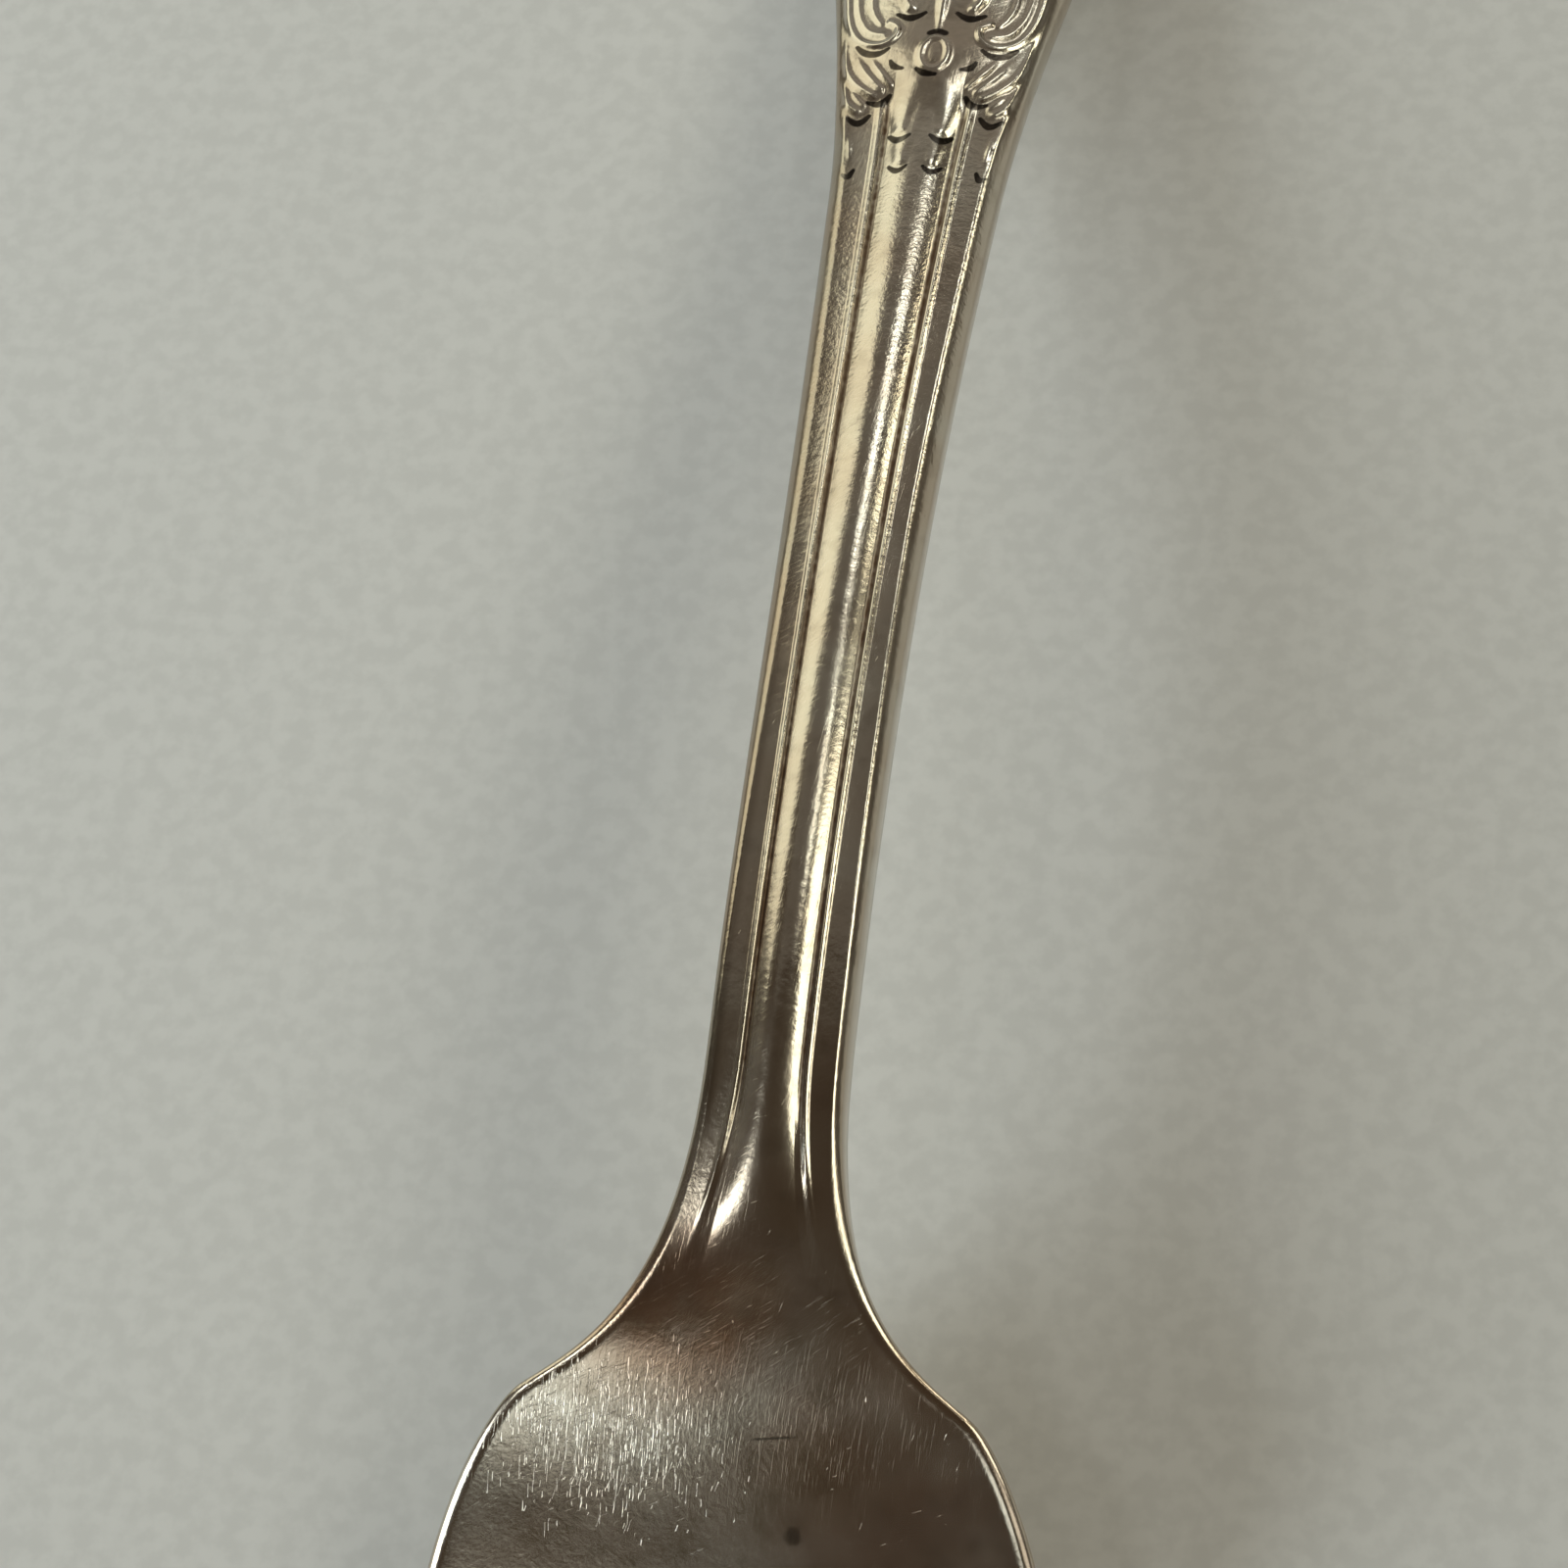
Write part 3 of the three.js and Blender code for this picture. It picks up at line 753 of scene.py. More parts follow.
# %% Blank of the handle end
SEEN_TO = 46.5
SEEN_ROWS = 180
FAR_ROWS = 230
BORDER_FROM = 40.0
BORDER_TO = 50.0
BORDER_RISE = 0.22
BORDER_PLACE = 0.86
BORDER_SPREAD = 0.13
STRUCK_START = 0.4  # from here to full, in widths of the edge, the die begins to press
STRUCK_FULL = 1.1
last_seen_run = np.interp(SEEN_TO, measured[:, 0], run_at_ring)
seen_runs = np.linspace(run_of_plane(END_PLANE), last_seen_run, SEEN_ROWS + 1)
far_runs = np.linspace(seen_runs[-1], run_of_plane(FAR_END), FAR_ROWS + 1)
front, back, distance = lay_rows(np.concatenate([seen_runs, far_runs[1:]]))
half = front[:, -1:, 0]
border_share = fade(front[..., 1], BORDER_FROM, BORDER_TO)
border = BORDER_RISE * ridge(np.abs(front[..., 0]) / half - BORDER_PLACE, BORDER_SPREAD)
front[..., 2] += border_share * border
handle_end = skin_mesh("silver_ornamented_end", front, back)
edge_width = front_edge(front[..., 1])[0]
struck = fade(distance / edge_width, STRUCK_START, STRUCK_FULL)
store(handle_end, "struck", struck, back.shape[:2])
pieces["ornamented_end"] = handle_end
print(handle_end.name, len(handle_end.data.polygons), "faces before striking")

# %% [markdown]
# ## The struck ornament
# The die was cut with a graver, stroke by stroke: scrolls with two curled ends, leaves whose tips are
# undercut, a round boss, a hanging spray of petals, a plain oval shield and a fan of lobes at the end. The
# same strokes are drawn here in plan, each as a line with its own width and height, for the right half and
# mirrored. A sculpted mesh could do this too, but strokes stay editable and a tree can press them in.
# Everything past the edge of the picture is a plain traditional design of its own.

# %% A stroke of the die
STROKE_STEP = 0.05
WORN_RELIEF = 0.58  # share of the raised strokes that wear has left
CUT_SPREAD = 1.4  # cuts are wider than they were drawn, because their lips are worn
strokes = []


def stroke(points, widths, heights, mirrored=True, closed=False):
    """Adds a stroke through the points. Widths and heights are spread evenly over its length."""
    points = np.array(points, dtype=float)
    if closed:
        points = np.vstack([points, points[:1]])
    lengths = np.concatenate([[0], np.cumsum(np.hypot(*np.diff(points, axis=0).T))])
    at = np.linspace(0, lengths[-1], max(3, int(lengths[-1] / STROKE_STEP)))
    across = natural_spline(lengths, points[:, 0])(at)[0]
    along = natural_spline(lengths, points[:, 1])(at)[0]
    width = np.interp(at, np.linspace(0, lengths[-1], len(widths)), widths)
    height = np.interp(at, np.linspace(0, lengths[-1], len(heights)), heights)
    width = np.where(height < 0, CUT_SPREAD * width, width)
    height = np.where(height > 0, WORN_RELIEF * height, height)
    strokes.append((across, along, width, height))
    if mirrored:
        strokes.append((-across, along, width, height))


def round_points(centre, radii, start, end, count):
    """Points on an arc or, with two different radii, on a curl. Angles are in degrees from the x axis."""
    angle = np.radians(np.linspace(start, end, count))
    radius = np.linspace(radii[0], radii[1], count)
    return np.stack([centre[0] + radius * np.cos(angle), centre[1] + radius * np.sin(angle)], axis=1)


print("a stroke is laid in steps of", STROKE_STEP, "mm")

# %% Boss and hanging petals
BOSS = (0.0, 41.1)
BOSS_RADII = (0.66, 1.1)
BOSS_POINTS = 16
last_angle = 360 - 360 / BOSS_POINTS
boss_ring = round_points((0, 0), (1, 1), 0, last_angle, BOSS_POINTS) * BOSS_RADII + BOSS
stroke(boss_ring, [0.23], [0.17], mirrored=False, closed=True)
stroke([(0, 41.6), (0, 40.6)], [0.36], [0.07], mirrored=False)
stroke([(-0.35, 42.5), (0, 42.62), (0.35, 42.5)], [0.16], [-0.2], mirrored=False)
stroke([(-0.75, 40.05), (-0.35, 39.72), (0.2, 39.66)],
       [0.08, 0.18, 0.1], [-0.14, -0.24, -0.16], mirrored=False)
stroke([(0.35, 39.7), (0.9, 38.5), (1.12, 37.1), (1.02, 36.05)],
       [0.3, 0.62, 0.64, 0.46], [0.02, 0.06, 0.12, 0.17])
stroke([(0.5, 35.62), (0.98, 35.3), (1.5, 35.66)], [0.08, 0.2, 0.1], [-0.14, -0.27, -0.14])
stroke([(0.25, 37.2), (0.6, 35.9), (0.82, 34.7), (0.78, 33.9)],
       [0.25, 0.5, 0.52, 0.4], [0.02, 0.05, 0.1, 0.14])
stroke([(0.4, 33.52), (0.78, 33.2), (1.25, 33.55)], [0.07, 0.17, 0.08], [-0.12, -0.24, -0.12])
print(len(strokes), "strokes with the boss and the petals")

# %% Scrolls beside the boss
stroke([(4.2, 46.4), (4.05, 44.4), (3.5, 43.0), (2.6, 42.4)],
       [0.45, 0.75, 0.65, 0.4], [0.06, 0.12, 0.13, 0.1])
stroke([(3.3, 47.7), (3.75, 48.4), (4.5, 48.1), (4.95, 46.7), (4.85, 45), (4.45, 43.2),
        (3.65, 42.05), (2.75, 41.8), (2.1, 42.3), (2.05, 43.0), (2.5, 43.35)],
       [0.14, 0.2, 0.24, 0.22, 0.2], [0.2, 0.26, 0.26, 0.26, 0.2])
stroke([(4.3, 47.2), (4.3, 45.2), (3.95, 43.6), (3.35, 42.7), (2.65, 42.5)],
       [0.1, 0.19, 0.2, 0.16], [0.1, 0.22, 0.24, 0.2])
stroke([(3.6, 46.6), (3.6, 45.2), (3.35, 44), (2.9, 43.25)],
       [0.08, 0.17, 0.18, 0.12], [0.08, 0.2, 0.22, 0.16])
stroke([(2.3, 41.5), (2.75, 41.2), (3.3, 41.25), (3.95, 41.85)],
       [0.08, 0.19, 0.17, 0.08], [-0.14, -0.28, -0.24, -0.12])
stroke([(0.25, 46.3), (1.1, 46.1), (1.85, 45.2), (1.55, 44.3)],
       [0.2, 0.34, 0.42, 0.34], [0.12, 0.24, 0.28, 0.24])
stroke([(0.8, 43.95), (1.45, 43.6), (2.15, 43.9)], [0.1, 0.21, 0.1], [-0.14, -0.27, -0.14])
stroke([(0, 47.4), (0, 45.6), (0, 43.6), (0, 42.7)],
       [0.2, 0.34, 0.3, 0.12], [0.1, 0.22, 0.2, 0.1], mirrored=False)
stroke([(1.45, 40.1), (1.85, 40.25), (2.1, 40.65)], [0.09, 0.17, 0.08], [-0.14, -0.25, -0.14])
print(len(strokes), "strokes with the scrolls")

# %% Leaves along the rim
stroke([(4.4, 41.8), (3.8, 39.9), (2.7, 38.65)], [0.3, 0.85, 0.6], [0.05, 0.13, 0.17])
stroke([(4.4, 39.7), (3.95, 38.3), (3.3, 37.5)], [0.25, 0.6, 0.45], [0.05, 0.11, 0.15])
stroke([(4.6, 42.4), (4.35, 40.6), (3.6, 39.15), (2.65, 38.35)],
       [0.1, 0.26, 0.32, 0.24], [0.08, 0.24, 0.3, 0.26])
stroke([(3.75, 41.0), (3.4, 40.2), (2.85, 39.4), (2.3, 38.75)],
       [0.08, 0.22, 0.25, 0.18], [0.06, 0.2, 0.25, 0.2])
stroke([(3.05, 40.8), (2.65, 40.1), (2.2, 39.45), (1.85, 39.0)],
       [0.08, 0.18, 0.2, 0.14], [0.06, 0.16, 0.19, 0.14])
stroke([(1.85, 38.4), (2.25, 37.86), (2.9, 37.98)], [0.1, 0.21, 0.08], [-0.16, -0.28, -0.14])
stroke([(4.5, 40.2), (4.3, 38.9), (3.85, 37.85), (3.3, 37.35)],
       [0.1, 0.27, 0.33, 0.24], [0.08, 0.22, 0.28, 0.24])
stroke([(3.85, 39.0), (3.5, 38.3), (3.05, 37.8)], [0.08, 0.2, 0.16], [0.06, 0.2, 0.18])
stroke([(2.7, 37.1), (3.2, 36.6), (3.75, 36.95)], [0.1, 0.2, 0.09], [-0.14, -0.27, -0.14])
stroke([(4.0, 36.9), (3.9, 35.7), (3.78, 34.5), (3.62, 33.6)],
       [0.18, 0.32, 0.3, 0.16], [0.1, 0.24, 0.24, 0.16])
stroke([(2.95, 33.4), (3.22, 32.95), (3.48, 33.15)], [0.08, 0.16, 0.08], [-0.12, -0.22, -0.12])
stroke([(3.5, 35.9), (3.35, 34.9), (3.25, 34.1)], [0.06, 0.15, 0.06], [0.05, 0.15, 0.06])
print(len(strokes), "strokes with the leaves")

# %% Shield and long scrolls
shield = [(0, 48.3), (1.9, 50.2), (3.3, 53.6), (3.8, 57.6), (3.4, 61.4), (2.0, 64.6), (0, 66.6)]
stroke(shield, [0.3], [0.3])
inner_line = [(0, 49.3), (1.5, 50.9), (2.65, 53.9), (3.1, 57.6), (2.75, 61.1), (1.6, 63.8), (0, 65.6)]
stroke(inner_line, [0.14], [0.14])
lower_curl = round_points((4.75, 51.6), (0.35, 0.95), 90, -180, 7)
upper_curl = round_points((5.9, 65.1), (1.35, 0.4), -10, 280, 8)
stroke(np.vstack([lower_curl, [(4.1, 53.4), (5.1, 56), (5.2, 59), (6.0, 62.2)], upper_curl]),
       [0.18, 0.3, 0.36, 0.34, 0.3, 0.2], [0.24, 0.3, 0.32, 0.32, 0.3, 0.24])
stroke([(4.7, 53.9), (5.5, 56.1), (5.65, 58.9), (6.45, 61.8)],
       [0.1, 0.2, 0.22, 0.1], [0.08, 0.22, 0.22, 0.08])
OUTER_LEAVES = [
    [(5.2, 53.6), (6.0, 54.6), (6.3, 56.3)],
    [(5.7, 56.6), (6.6, 57.6), (6.9, 59.5)],
    [(6.0, 59.6), (7.0, 60.6), (7.3, 62.4)],
]
for leaf in OUTER_LEAVES:
    stroke(leaf, [0.1, 0.34, 0.1], [0.1, 0.28, 0.14])
stroke([(2.3, 66.3), (3.6, 66.9), (4.6, 68.4)], [0.14, 0.4, 0.14], [0.12, 0.28, 0.16])
print(len(strokes), "strokes with the shield and the long scrolls")

# %% Fan of lobes at the far end
FAN = np.array((0.0, 68.0))
MIDDLE_LOBE = 90
FAN_LOBES = [(MIDDLE_LOBE, 7.9), (68, 7.6), (46, 6.6), (24, 5.6), (4, 4.6)]  # angle and reach
LOBE_SHARES = (0.2, 0.5, 0.8, 0.97)
RIB_SHARES = (0.35, 0.6, 0.85)
for angle, reach in FAN_LOBES:
    outward = np.array((math.cos(math.radians(angle)), math.sin(math.radians(angle))))
    lobe = [FAN + outward * reach * share for share in LOBE_SHARES]
    rib = [FAN + outward * reach * share for share in RIB_SHARES]
    on_both_sides = angle != MIDDLE_LOBE
    stroke(lobe, [0.22, 0.5, 0.72, 0.55], [0.14, 0.26, 0.32, 0.26], mirrored=on_both_sides)
    stroke(rib, [0.07, 0.13, 0.1], [-0.06, -0.13, -0.1], mirrored=on_both_sides)
stroke([FAN, FAN + (0, 0.3)], [0.85], [0.34], mirrored=False)
print(len(strokes), "strokes on the die")

# %% The die as a drawing
die_mesh = bpy.data.meshes.new("die_strokes")
die_points = np.concatenate([np.stack([across, along], axis=1) for across, along, _, _ in strokes])
die_owner = np.concatenate([np.full(len(drawn[0]), order) for order, drawn in enumerate(strokes)])
joined = np.flatnonzero(die_owner[:-1] == die_owner[1:])
die_places = np.column_stack([die_points, np.zeros(len(die_points))]) * MM
die_mesh.from_pydata(die_places.tolist(), np.stack([joined, joined + 1], axis=1).tolist(), [])
owner = die_mesh.attributes.new("stroke", "INT", "POINT")
owner.data.foreach_set("value", die_owner.astype(np.int32))
for name, column in {"half_width": 2, "height": 3}.items():
    values = np.concatenate([drawn[column] for drawn in strokes]) * MM
    drawn_attribute = die_mesh.attributes.new(name, "FLOAT", "POINT")
    drawn_attribute.data.foreach_set("value", values.astype(np.float32))
die = bpy.data.objects.new("die_strokes", die_mesh)
bpy.context.scene.collection.objects.link(die)
print("die has", len(die_points), "points")

# %% [markdown]
# ## Pressing the die
# The tree takes one stroke at a time in a repeat zone. For each point of the blank it finds the distance to
# the stroke in plan and turns it into a rounded section. Raised strokes keep the higher of the two
# surfaces, as a graver would leave them, and cuts are taken off. At the end the relief is smoothed a
# little, which is the wear, and only then are the points lifted.

# %% Tree that strikes the ornament: blank and sums
STRIKE_INPUTS = {
    "Die": "Object", "Strokes": "Int", "Wear": "Int", "Section": "Float", "Material": "Material",
}
strike_tree, given, result = new_shape_tree("struck ornament", STRIKE_INPUTS)


def strike(operation, *values):
    return reckon(strike_tree, operation, *values)


def named(name, kind="FLOAT"):
    found = add_node(strike_tree, "GeometryNodeInputNamedAttribute", {"Name": name}, data_type=kind)
    return found.outputs["Attribute"]


def keep(geometry, name, value):
    """Stores a number on every point under a name and gives the geometry with it."""
    inputs = {"Geometry": geometry, "Name": name, "Value": value}
    kept = add_node(strike_tree, "GeometryNodeStoreNamedAttribute", inputs,
                    data_type="FLOAT", domain="POINT")
    return kept.outputs[0]


die_info = add_node(strike_tree, "GeometryNodeObjectInfo", {"Object": given["Die"]})
where = add_node(strike_tree, "GeometryNodeInputPosition").outputs[0]
spot = add_node(strike_tree, "ShaderNodeSeparateXYZ", {"Vector": where}).outputs
plan = add_node(strike_tree, "ShaderNodeCombineXYZ", {"X": spot["X"], "Y": spot["Y"]}).outputs[0]
blank = keep(keep(given["Geometry"], "relief", 0.0), "grime", 0.0)
print("ornament tree starts with", len(strike_tree.nodes), "nodes")

# %% Tree that strikes the ornament: one stroke after another
WHOLE_NUMBERS = (2, 3)  # the sockets of a Compare node that take whole numbers
loop_start = add_node(strike_tree, "GeometryNodeRepeatInput")
loop_end = add_node(strike_tree, "GeometryNodeRepeatOutput")
loop_start.pair_with_output(loop_end)
feed(strike_tree, loop_start.inputs["Iterations"], given["Strokes"])
feed(strike_tree, loop_start.inputs["Geometry"], blank)
is_stroke = add_node(strike_tree, "FunctionNodeCompare", data_type="INT", operation="EQUAL")
feed(strike_tree, is_stroke.inputs[WHOLE_NUMBERS[0]], named("stroke", "INT"))
feed(strike_tree, is_stroke.inputs[WHOLE_NUMBERS[1]], loop_start.outputs["Iteration"])
one_stroke = add_node(strike_tree, "GeometryNodeSeparateGeometry", {
    "Geometry": die_info.outputs["Geometry"], "Selection": is_stroke.outputs[0],
}, domain="POINT")
away = add_node(strike_tree, "GeometryNodeProximity", target_element="EDGES")
feed(strike_tree, away.inputs[0], one_stroke.outputs[0])
feed(strike_tree, away.inputs["Sample Position"], plan)
nearest = add_node(strike_tree, "GeometryNodeSampleNearest",
                   {"Geometry": one_stroke.outputs[0], "Sample Position": plan}, domain="POINT")


def of_stroke(name):
    found = add_node(strike_tree, "GeometryNodeSampleIndex",
                     {"Geometry": one_stroke.outputs[0], "Value": named(name), "Index": nearest.outputs[0]},
                     data_type="FLOAT", domain="POINT")
    return found.outputs[0]


drawn_height = of_stroke("height")
share = strike("DIVIDE", away.outputs["Distance"], of_stroke("half_width"))
dome = strike("MAXIMUM", 0.0, strike("SUBTRACT", 1.0, strike("MULTIPLY", share, share)))
lift = strike("MULTIPLY", drawn_height, strike("POWER", dome, given["Section"]))
raised = strike("MAXIMUM", named("relief"), lift)
cut = strike("ADD", named("relief"), lift)
is_cut = strike("LESS_THAN", drawn_height, 0.0)
kept_high = strike("MULTIPLY", strike("SUBTRACT", 1.0, is_cut), raised)
shaped = strike("ADD", strike("MULTIPLY", is_cut, cut), kept_high)
pressed = keep(loop_start.outputs["Geometry"], "relief", shaped)
# Each cut keeps a dark value, deepest in its middle: dirt and painted shade for the material.
dirt_and_shade = strike("MULTIPLY", strike("MULTIPLY", is_cut, dome), named("struck"))
with_dirt_and_shade = keep(pressed, "grime", strike("MAXIMUM", named("grime"), dirt_and_shade))
feed(strike_tree, loop_end.inputs["Geometry"], with_dirt_and_shade)
print("ornament tree has", len(strike_tree.nodes), "nodes with its strokes")

# %% Tree that strikes the ornament: wear and lift
worn = add_node(strike_tree, "GeometryNodeBlurAttribute",
                {"Value": named("relief"), "Iterations": given["Wear"]}, data_type="FLOAT")
lift_height = strike("MULTIPLY", worn.outputs[0], named("struck"))
upward = add_node(strike_tree, "ShaderNodeCombineXYZ", {"Z": lift_height})
lifted = add_node(strike_tree, "GeometryNodeSetPosition",
                  {"Geometry": loop_end.outputs["Geometry"], "Offset": upward.outputs[0]})
end_tree(strike_tree, lifted.outputs[0], given["Material"], result["Geometry"])
print("ornament tree has", len(strike_tree.nodes), "nodes")

# %% Strike the handle end
STRIKE_WEAR = 4  # rounds of smoothing
STRIKE_SECTION = 1.25  # power of the round section: the higher, the thinner the top of a stroke
run_tree(handle_end, strike_tree, {
    "Die": die, "Strokes": len(strokes), "Wear": STRIKE_WEAR, "Section": STRIKE_SECTION, "Material": silver,
})
bpy.data.objects.remove(die)
struck_points = np.zeros(len(handle_end.data.vertices) * 3)
handle_end.data.vertices.foreach_get("co", struck_points)
rows, columns = front.shape[:2]
front = struck_points.reshape(rows, -1, 3)[:, :columns] / MM
mark_wear(handle_end, front, back, distance)
print(handle_end.name, len(handle_end.data.polygons), "faces, highest", round(front[..., 2].max(), 2), "mm")

# %% [markdown]
# ## Helpers for shader groups
# Effects that several surfaces share are node groups with named inputs and outputs. A group only works out
# colours, masks and heights; the shader that turns them into light stays in each material.

# %% Helpers for shader groups
# A Mix node has sockets for every kind of data, and these are the ones for the share and the colours
MIX_SHARE = 0
MIX_FIRST = 6
MIX_SECOND = 7
MIX_RESULT = 2


def new_paint_group(name, inputs, outputs):
    """A shader node group, its input sockets and its output sockets."""
    group = bpy.data.node_groups.new(name, "ShaderNodeTree")
    for label, kind in inputs.items():
        group.interface.new_socket(label, in_out="INPUT", socket_type="NodeSocket" + kind)
    for label, kind in outputs.items():
        group.interface.new_socket(label, in_out="OUTPUT", socket_type="NodeSocket" + kind)
    return group, group.nodes.new("NodeGroupInput").outputs, group.nodes.new("NodeGroupOutput").inputs


def use_group(tree, group, inputs):
    return add_node(tree, "ShaderNodeGroup", inputs, node_tree=group).outputs


def step_between(tree, value, start, end):
    """0 below start and 1 above end, with a smooth step between them."""
    ranged = add_node(tree, "ShaderNodeMapRange", {"Value": value, "From Min": start, "From Max": end},
                      interpolation_type="SMOOTHSTEP")
    return ranged.outputs["Result"]


def plus_share(tree, base, amount, value):
    """The base plus an amount of the value."""
    return reckon(tree, "MULTIPLY_ADD", value, amount, base)


def reckon_vector(tree, operation, *vectors):
    made = add_node(tree, "ShaderNodeVectorMath", dict(enumerate(vectors)), operation=operation)
    return made.outputs["Value" if operation == "LENGTH" else "Vector"]


def in_millimetres(tree):
    """The piece's own coordinates, counted in millimetres."""
    own = add_node(tree, "ShaderNodeTexCoord").outputs["Object"]
    return reckon_vector(tree, "MULTIPLY", own, (1 / MM, 1 / MM, 1 / MM))


def speckle(tree, vector, scale, detail=2.0):
    noise = add_node(tree, "ShaderNodeTexNoise", {"Vector": vector, "Scale": scale, "Detail": detail})
    return noise.outputs["Fac"]


def mix_colour(tree, share, first, second):
    mixed = tree.nodes.new("ShaderNodeMix")
    mixed.data_type = "RGBA"
    feed(tree, mixed.inputs[MIX_SHARE], share)
    feed(tree, mixed.inputs[MIX_FIRST], first)
    feed(tree, mixed.inputs[MIX_SECOND], second)
    return mixed.outputs[MIX_RESULT]


# %% [markdown]
# ## Hairlines
# Years of washing and stacking leave fine scratches, most of them along the fork. On a bench they would be
# single lines in the plate. A stretched noise gives the same look: cells less than a tenth of a millimetre
# wide and a little over a millimetre long, of which only the highest are kept.

# %% Group for hairlines
HAIRLINE_MARK = 0.78  # the noise passes this mark in very few places
HAIRLINE_GAIN = 0.26  # how far the mark comes down when the amount is 1
HAIRLINE_SOFTNESS = 0.08
hairlines, given, made = new_paint_group("hairlines", {
    "Vector": "Vector", "Turn": "Float", "Width": "Float", "Length": "Float", "Amount": "Float",
}, {"Mask": "Float"})
turned = add_node(hairlines, "ShaderNodeVectorRotate", {"Vector": given["Vector"], "Angle": given["Turn"]},
                  rotation_type="Z_AXIS")
cell = add_node(hairlines, "ShaderNodeCombineXYZ",
                {"X": given["Width"], "Y": given["Length"], "Z": given["Length"]})
stretched = reckon_vector(hairlines, "DIVIDE", turned.outputs[0], cell.outputs[0])
streaks = speckle(hairlines, stretched, 1.0, 1.0)
low = plus_share(hairlines, HAIRLINE_MARK, -HAIRLINE_GAIN, given["Amount"])
high = reckon(hairlines, "ADD", low, HAIRLINE_SOFTNESS)
feed(hairlines, made["Mask"], step_between(hairlines, streaks, low, high))
print("hairlines have", len(hairlines.nodes), "nodes")

# %% [markdown]
# ## Tarnish
# Silver darkens to brown and black, first in the hollows and then as a thin yellow-brown film over worn
# places. The mask starts from the hollows that were measured on the mesh, and two sizes of noise break it
# up. The film is only a tint.

# %% Group for tarnish
PATCH_SCALE = 0.16
CRUMB_SCALE = 2.2
TARNISH_BREAK = 0.9
TARNISH_START = 0.12
TARNISH_FULL = 0.62
TINT_START = 0.3
TINT_FULL = 0.65
TINT_BROWN = (0.50, 0.32, 0.20, 1)
TARNISH_BLACK = (0.13, 0.08, 0.05, 1)
tarnish, given, made = new_paint_group("tarnish", {
    "Vector": "Vector", "Hollow": "Float", "Film": "Float", "Clean Colour": "Color",
}, {"Colour": "Color", "Mask": "Float"})
patches = speckle(tarnish, given["Vector"], PATCH_SCALE, 3.0)
crumbs = speckle(tarnish, given["Vector"], CRUMB_SCALE, 3.0)
broken = reckon(tarnish, "MULTIPLY", TARNISH_BREAK, reckon(tarnish, "ADD", patches, crumbs))
in_hollow = reckon(tarnish, "MULTIPLY", given["Hollow"], broken)
dark = step_between(tarnish, in_hollow, TARNISH_START, TARNISH_FULL)
tint = reckon(tarnish, "MULTIPLY", given["Film"], step_between(tarnish, patches, TINT_START, TINT_FULL))
tinted = mix_colour(tarnish, tint, given["Clean Colour"], TINT_BROWN)
feed(tarnish, made["Colour"], mix_colour(tarnish, dark, tinted, TARNISH_BLACK))
feed(tarnish, made["Mask"], dark)
print("tarnish has", len(tarnish.nodes), "nodes")

# %% [markdown]
# ## One mark
# A single deep scratch or pit is a short line with soft ends. Its mask is the distance from that line, in
# the plane of the table, with a little noise so that its edge isn't ruled.

# %% Group for a single mark
MARK_CORE = 0.3  # share of the width that is fully dark
RAGGED_SCALE = 3.0
RAGGED_LEAST = 0.3  # the distance is stretched by this much and by the noise times the next
RAGGED_SHARE = 1.4
mark, given, made = new_paint_group("single mark", {
    "Vector": "Vector", "Place": "Vector", "Turn": "Float", "Length": "Float", "Width": "Float",
}, {"Mask": "Float"})
moved = reckon_vector(mark, "SUBTRACT", given["Vector"], given["Place"])
turned = add_node(mark, "ShaderNodeVectorRotate", {"Vector": moved, "Angle": given["Turn"]},
                  rotation_type="Z_AXIS")
spot = add_node(mark, "ShaderNodeSeparateXYZ", {"Vector": turned.outputs[0]}).outputs
half_length = reckon(mark, "MULTIPLY", 0.5, given["Length"])
past_end = reckon(mark, "SUBTRACT", reckon(mark, "ABSOLUTE", spot["X"]), half_length)
past_end = reckon(mark, "MAXIMUM", 0.0, past_end)
squares = reckon(mark, "ADD", reckon(mark, "MULTIPLY", spot["Y"], spot["Y"]),
                 reckon(mark, "MULTIPLY", past_end, past_end))
ragged = speckle(mark, given["Vector"], RAGGED_SCALE, 2.0)
rough = reckon(mark, "MULTIPLY", reckon(mark, "SQRT", squares),
               plus_share(mark, RAGGED_LEAST, RAGGED_SHARE, ragged))
core = reckon(mark, "MULTIPLY", MARK_CORE, given["Width"])
outside = step_between(mark, rough, core, given["Width"])
feed(mark, made["Mask"], reckon(mark, "SUBTRACT", 1.0, outside))
print("single mark has", len(mark.nodes), "nodes")

# %% [markdown]
# ## Worn silver plate
# The whole fork has one finish: silver plate, once polished, now satin from use. The shader is a metal with
# a warm grey colour. Hairlines, knocks and tarnish change its colour, roughness and the fine slope of the
# surface, all from the fork's own coordinates in millimetres and the numbers that its points keep. Some of
# its colour is painted light: painted shade in the cuts of the ornament, a painted highlight on the ridges
# and a painted reflection on the right of the head. The bevelled edge is painted a darker grey.

# %% Where the plate is worn, and where a reflection is painted
silver.use_nodes = True
plate = silver.node_tree
shader = plate.nodes["Principled BSDF"]
shader.inputs["Metallic"].default_value = 1.0
in_mm = in_millimetres(plate)
axes = add_node(plate, "ShaderNodeSeparateXYZ", {"Vector": in_mm}).outputs


def stored(name):
    return add_node(plate, "ShaderNodeAttribute", attribute_name=name).outputs["Fac"]


in_front = stored("front")
ridges = stored("ridge")


def round_place(centre, stretch, near, far):
    """1 on the front within the near distance of a place, in plan, and 0 beyond the far one."""
    away = reckon_vector(plate, "SUBTRACT", in_mm, centre)
    length = reckon_vector(plate, "LENGTH", reckon_vector(plate, "MULTIPLY", away, stretch))
    inside = reckon(plate, "SUBTRACT", 1.0, step_between(plate, length, near, far))
    return reckon(plate, "MULTIPLY", in_front, inside)


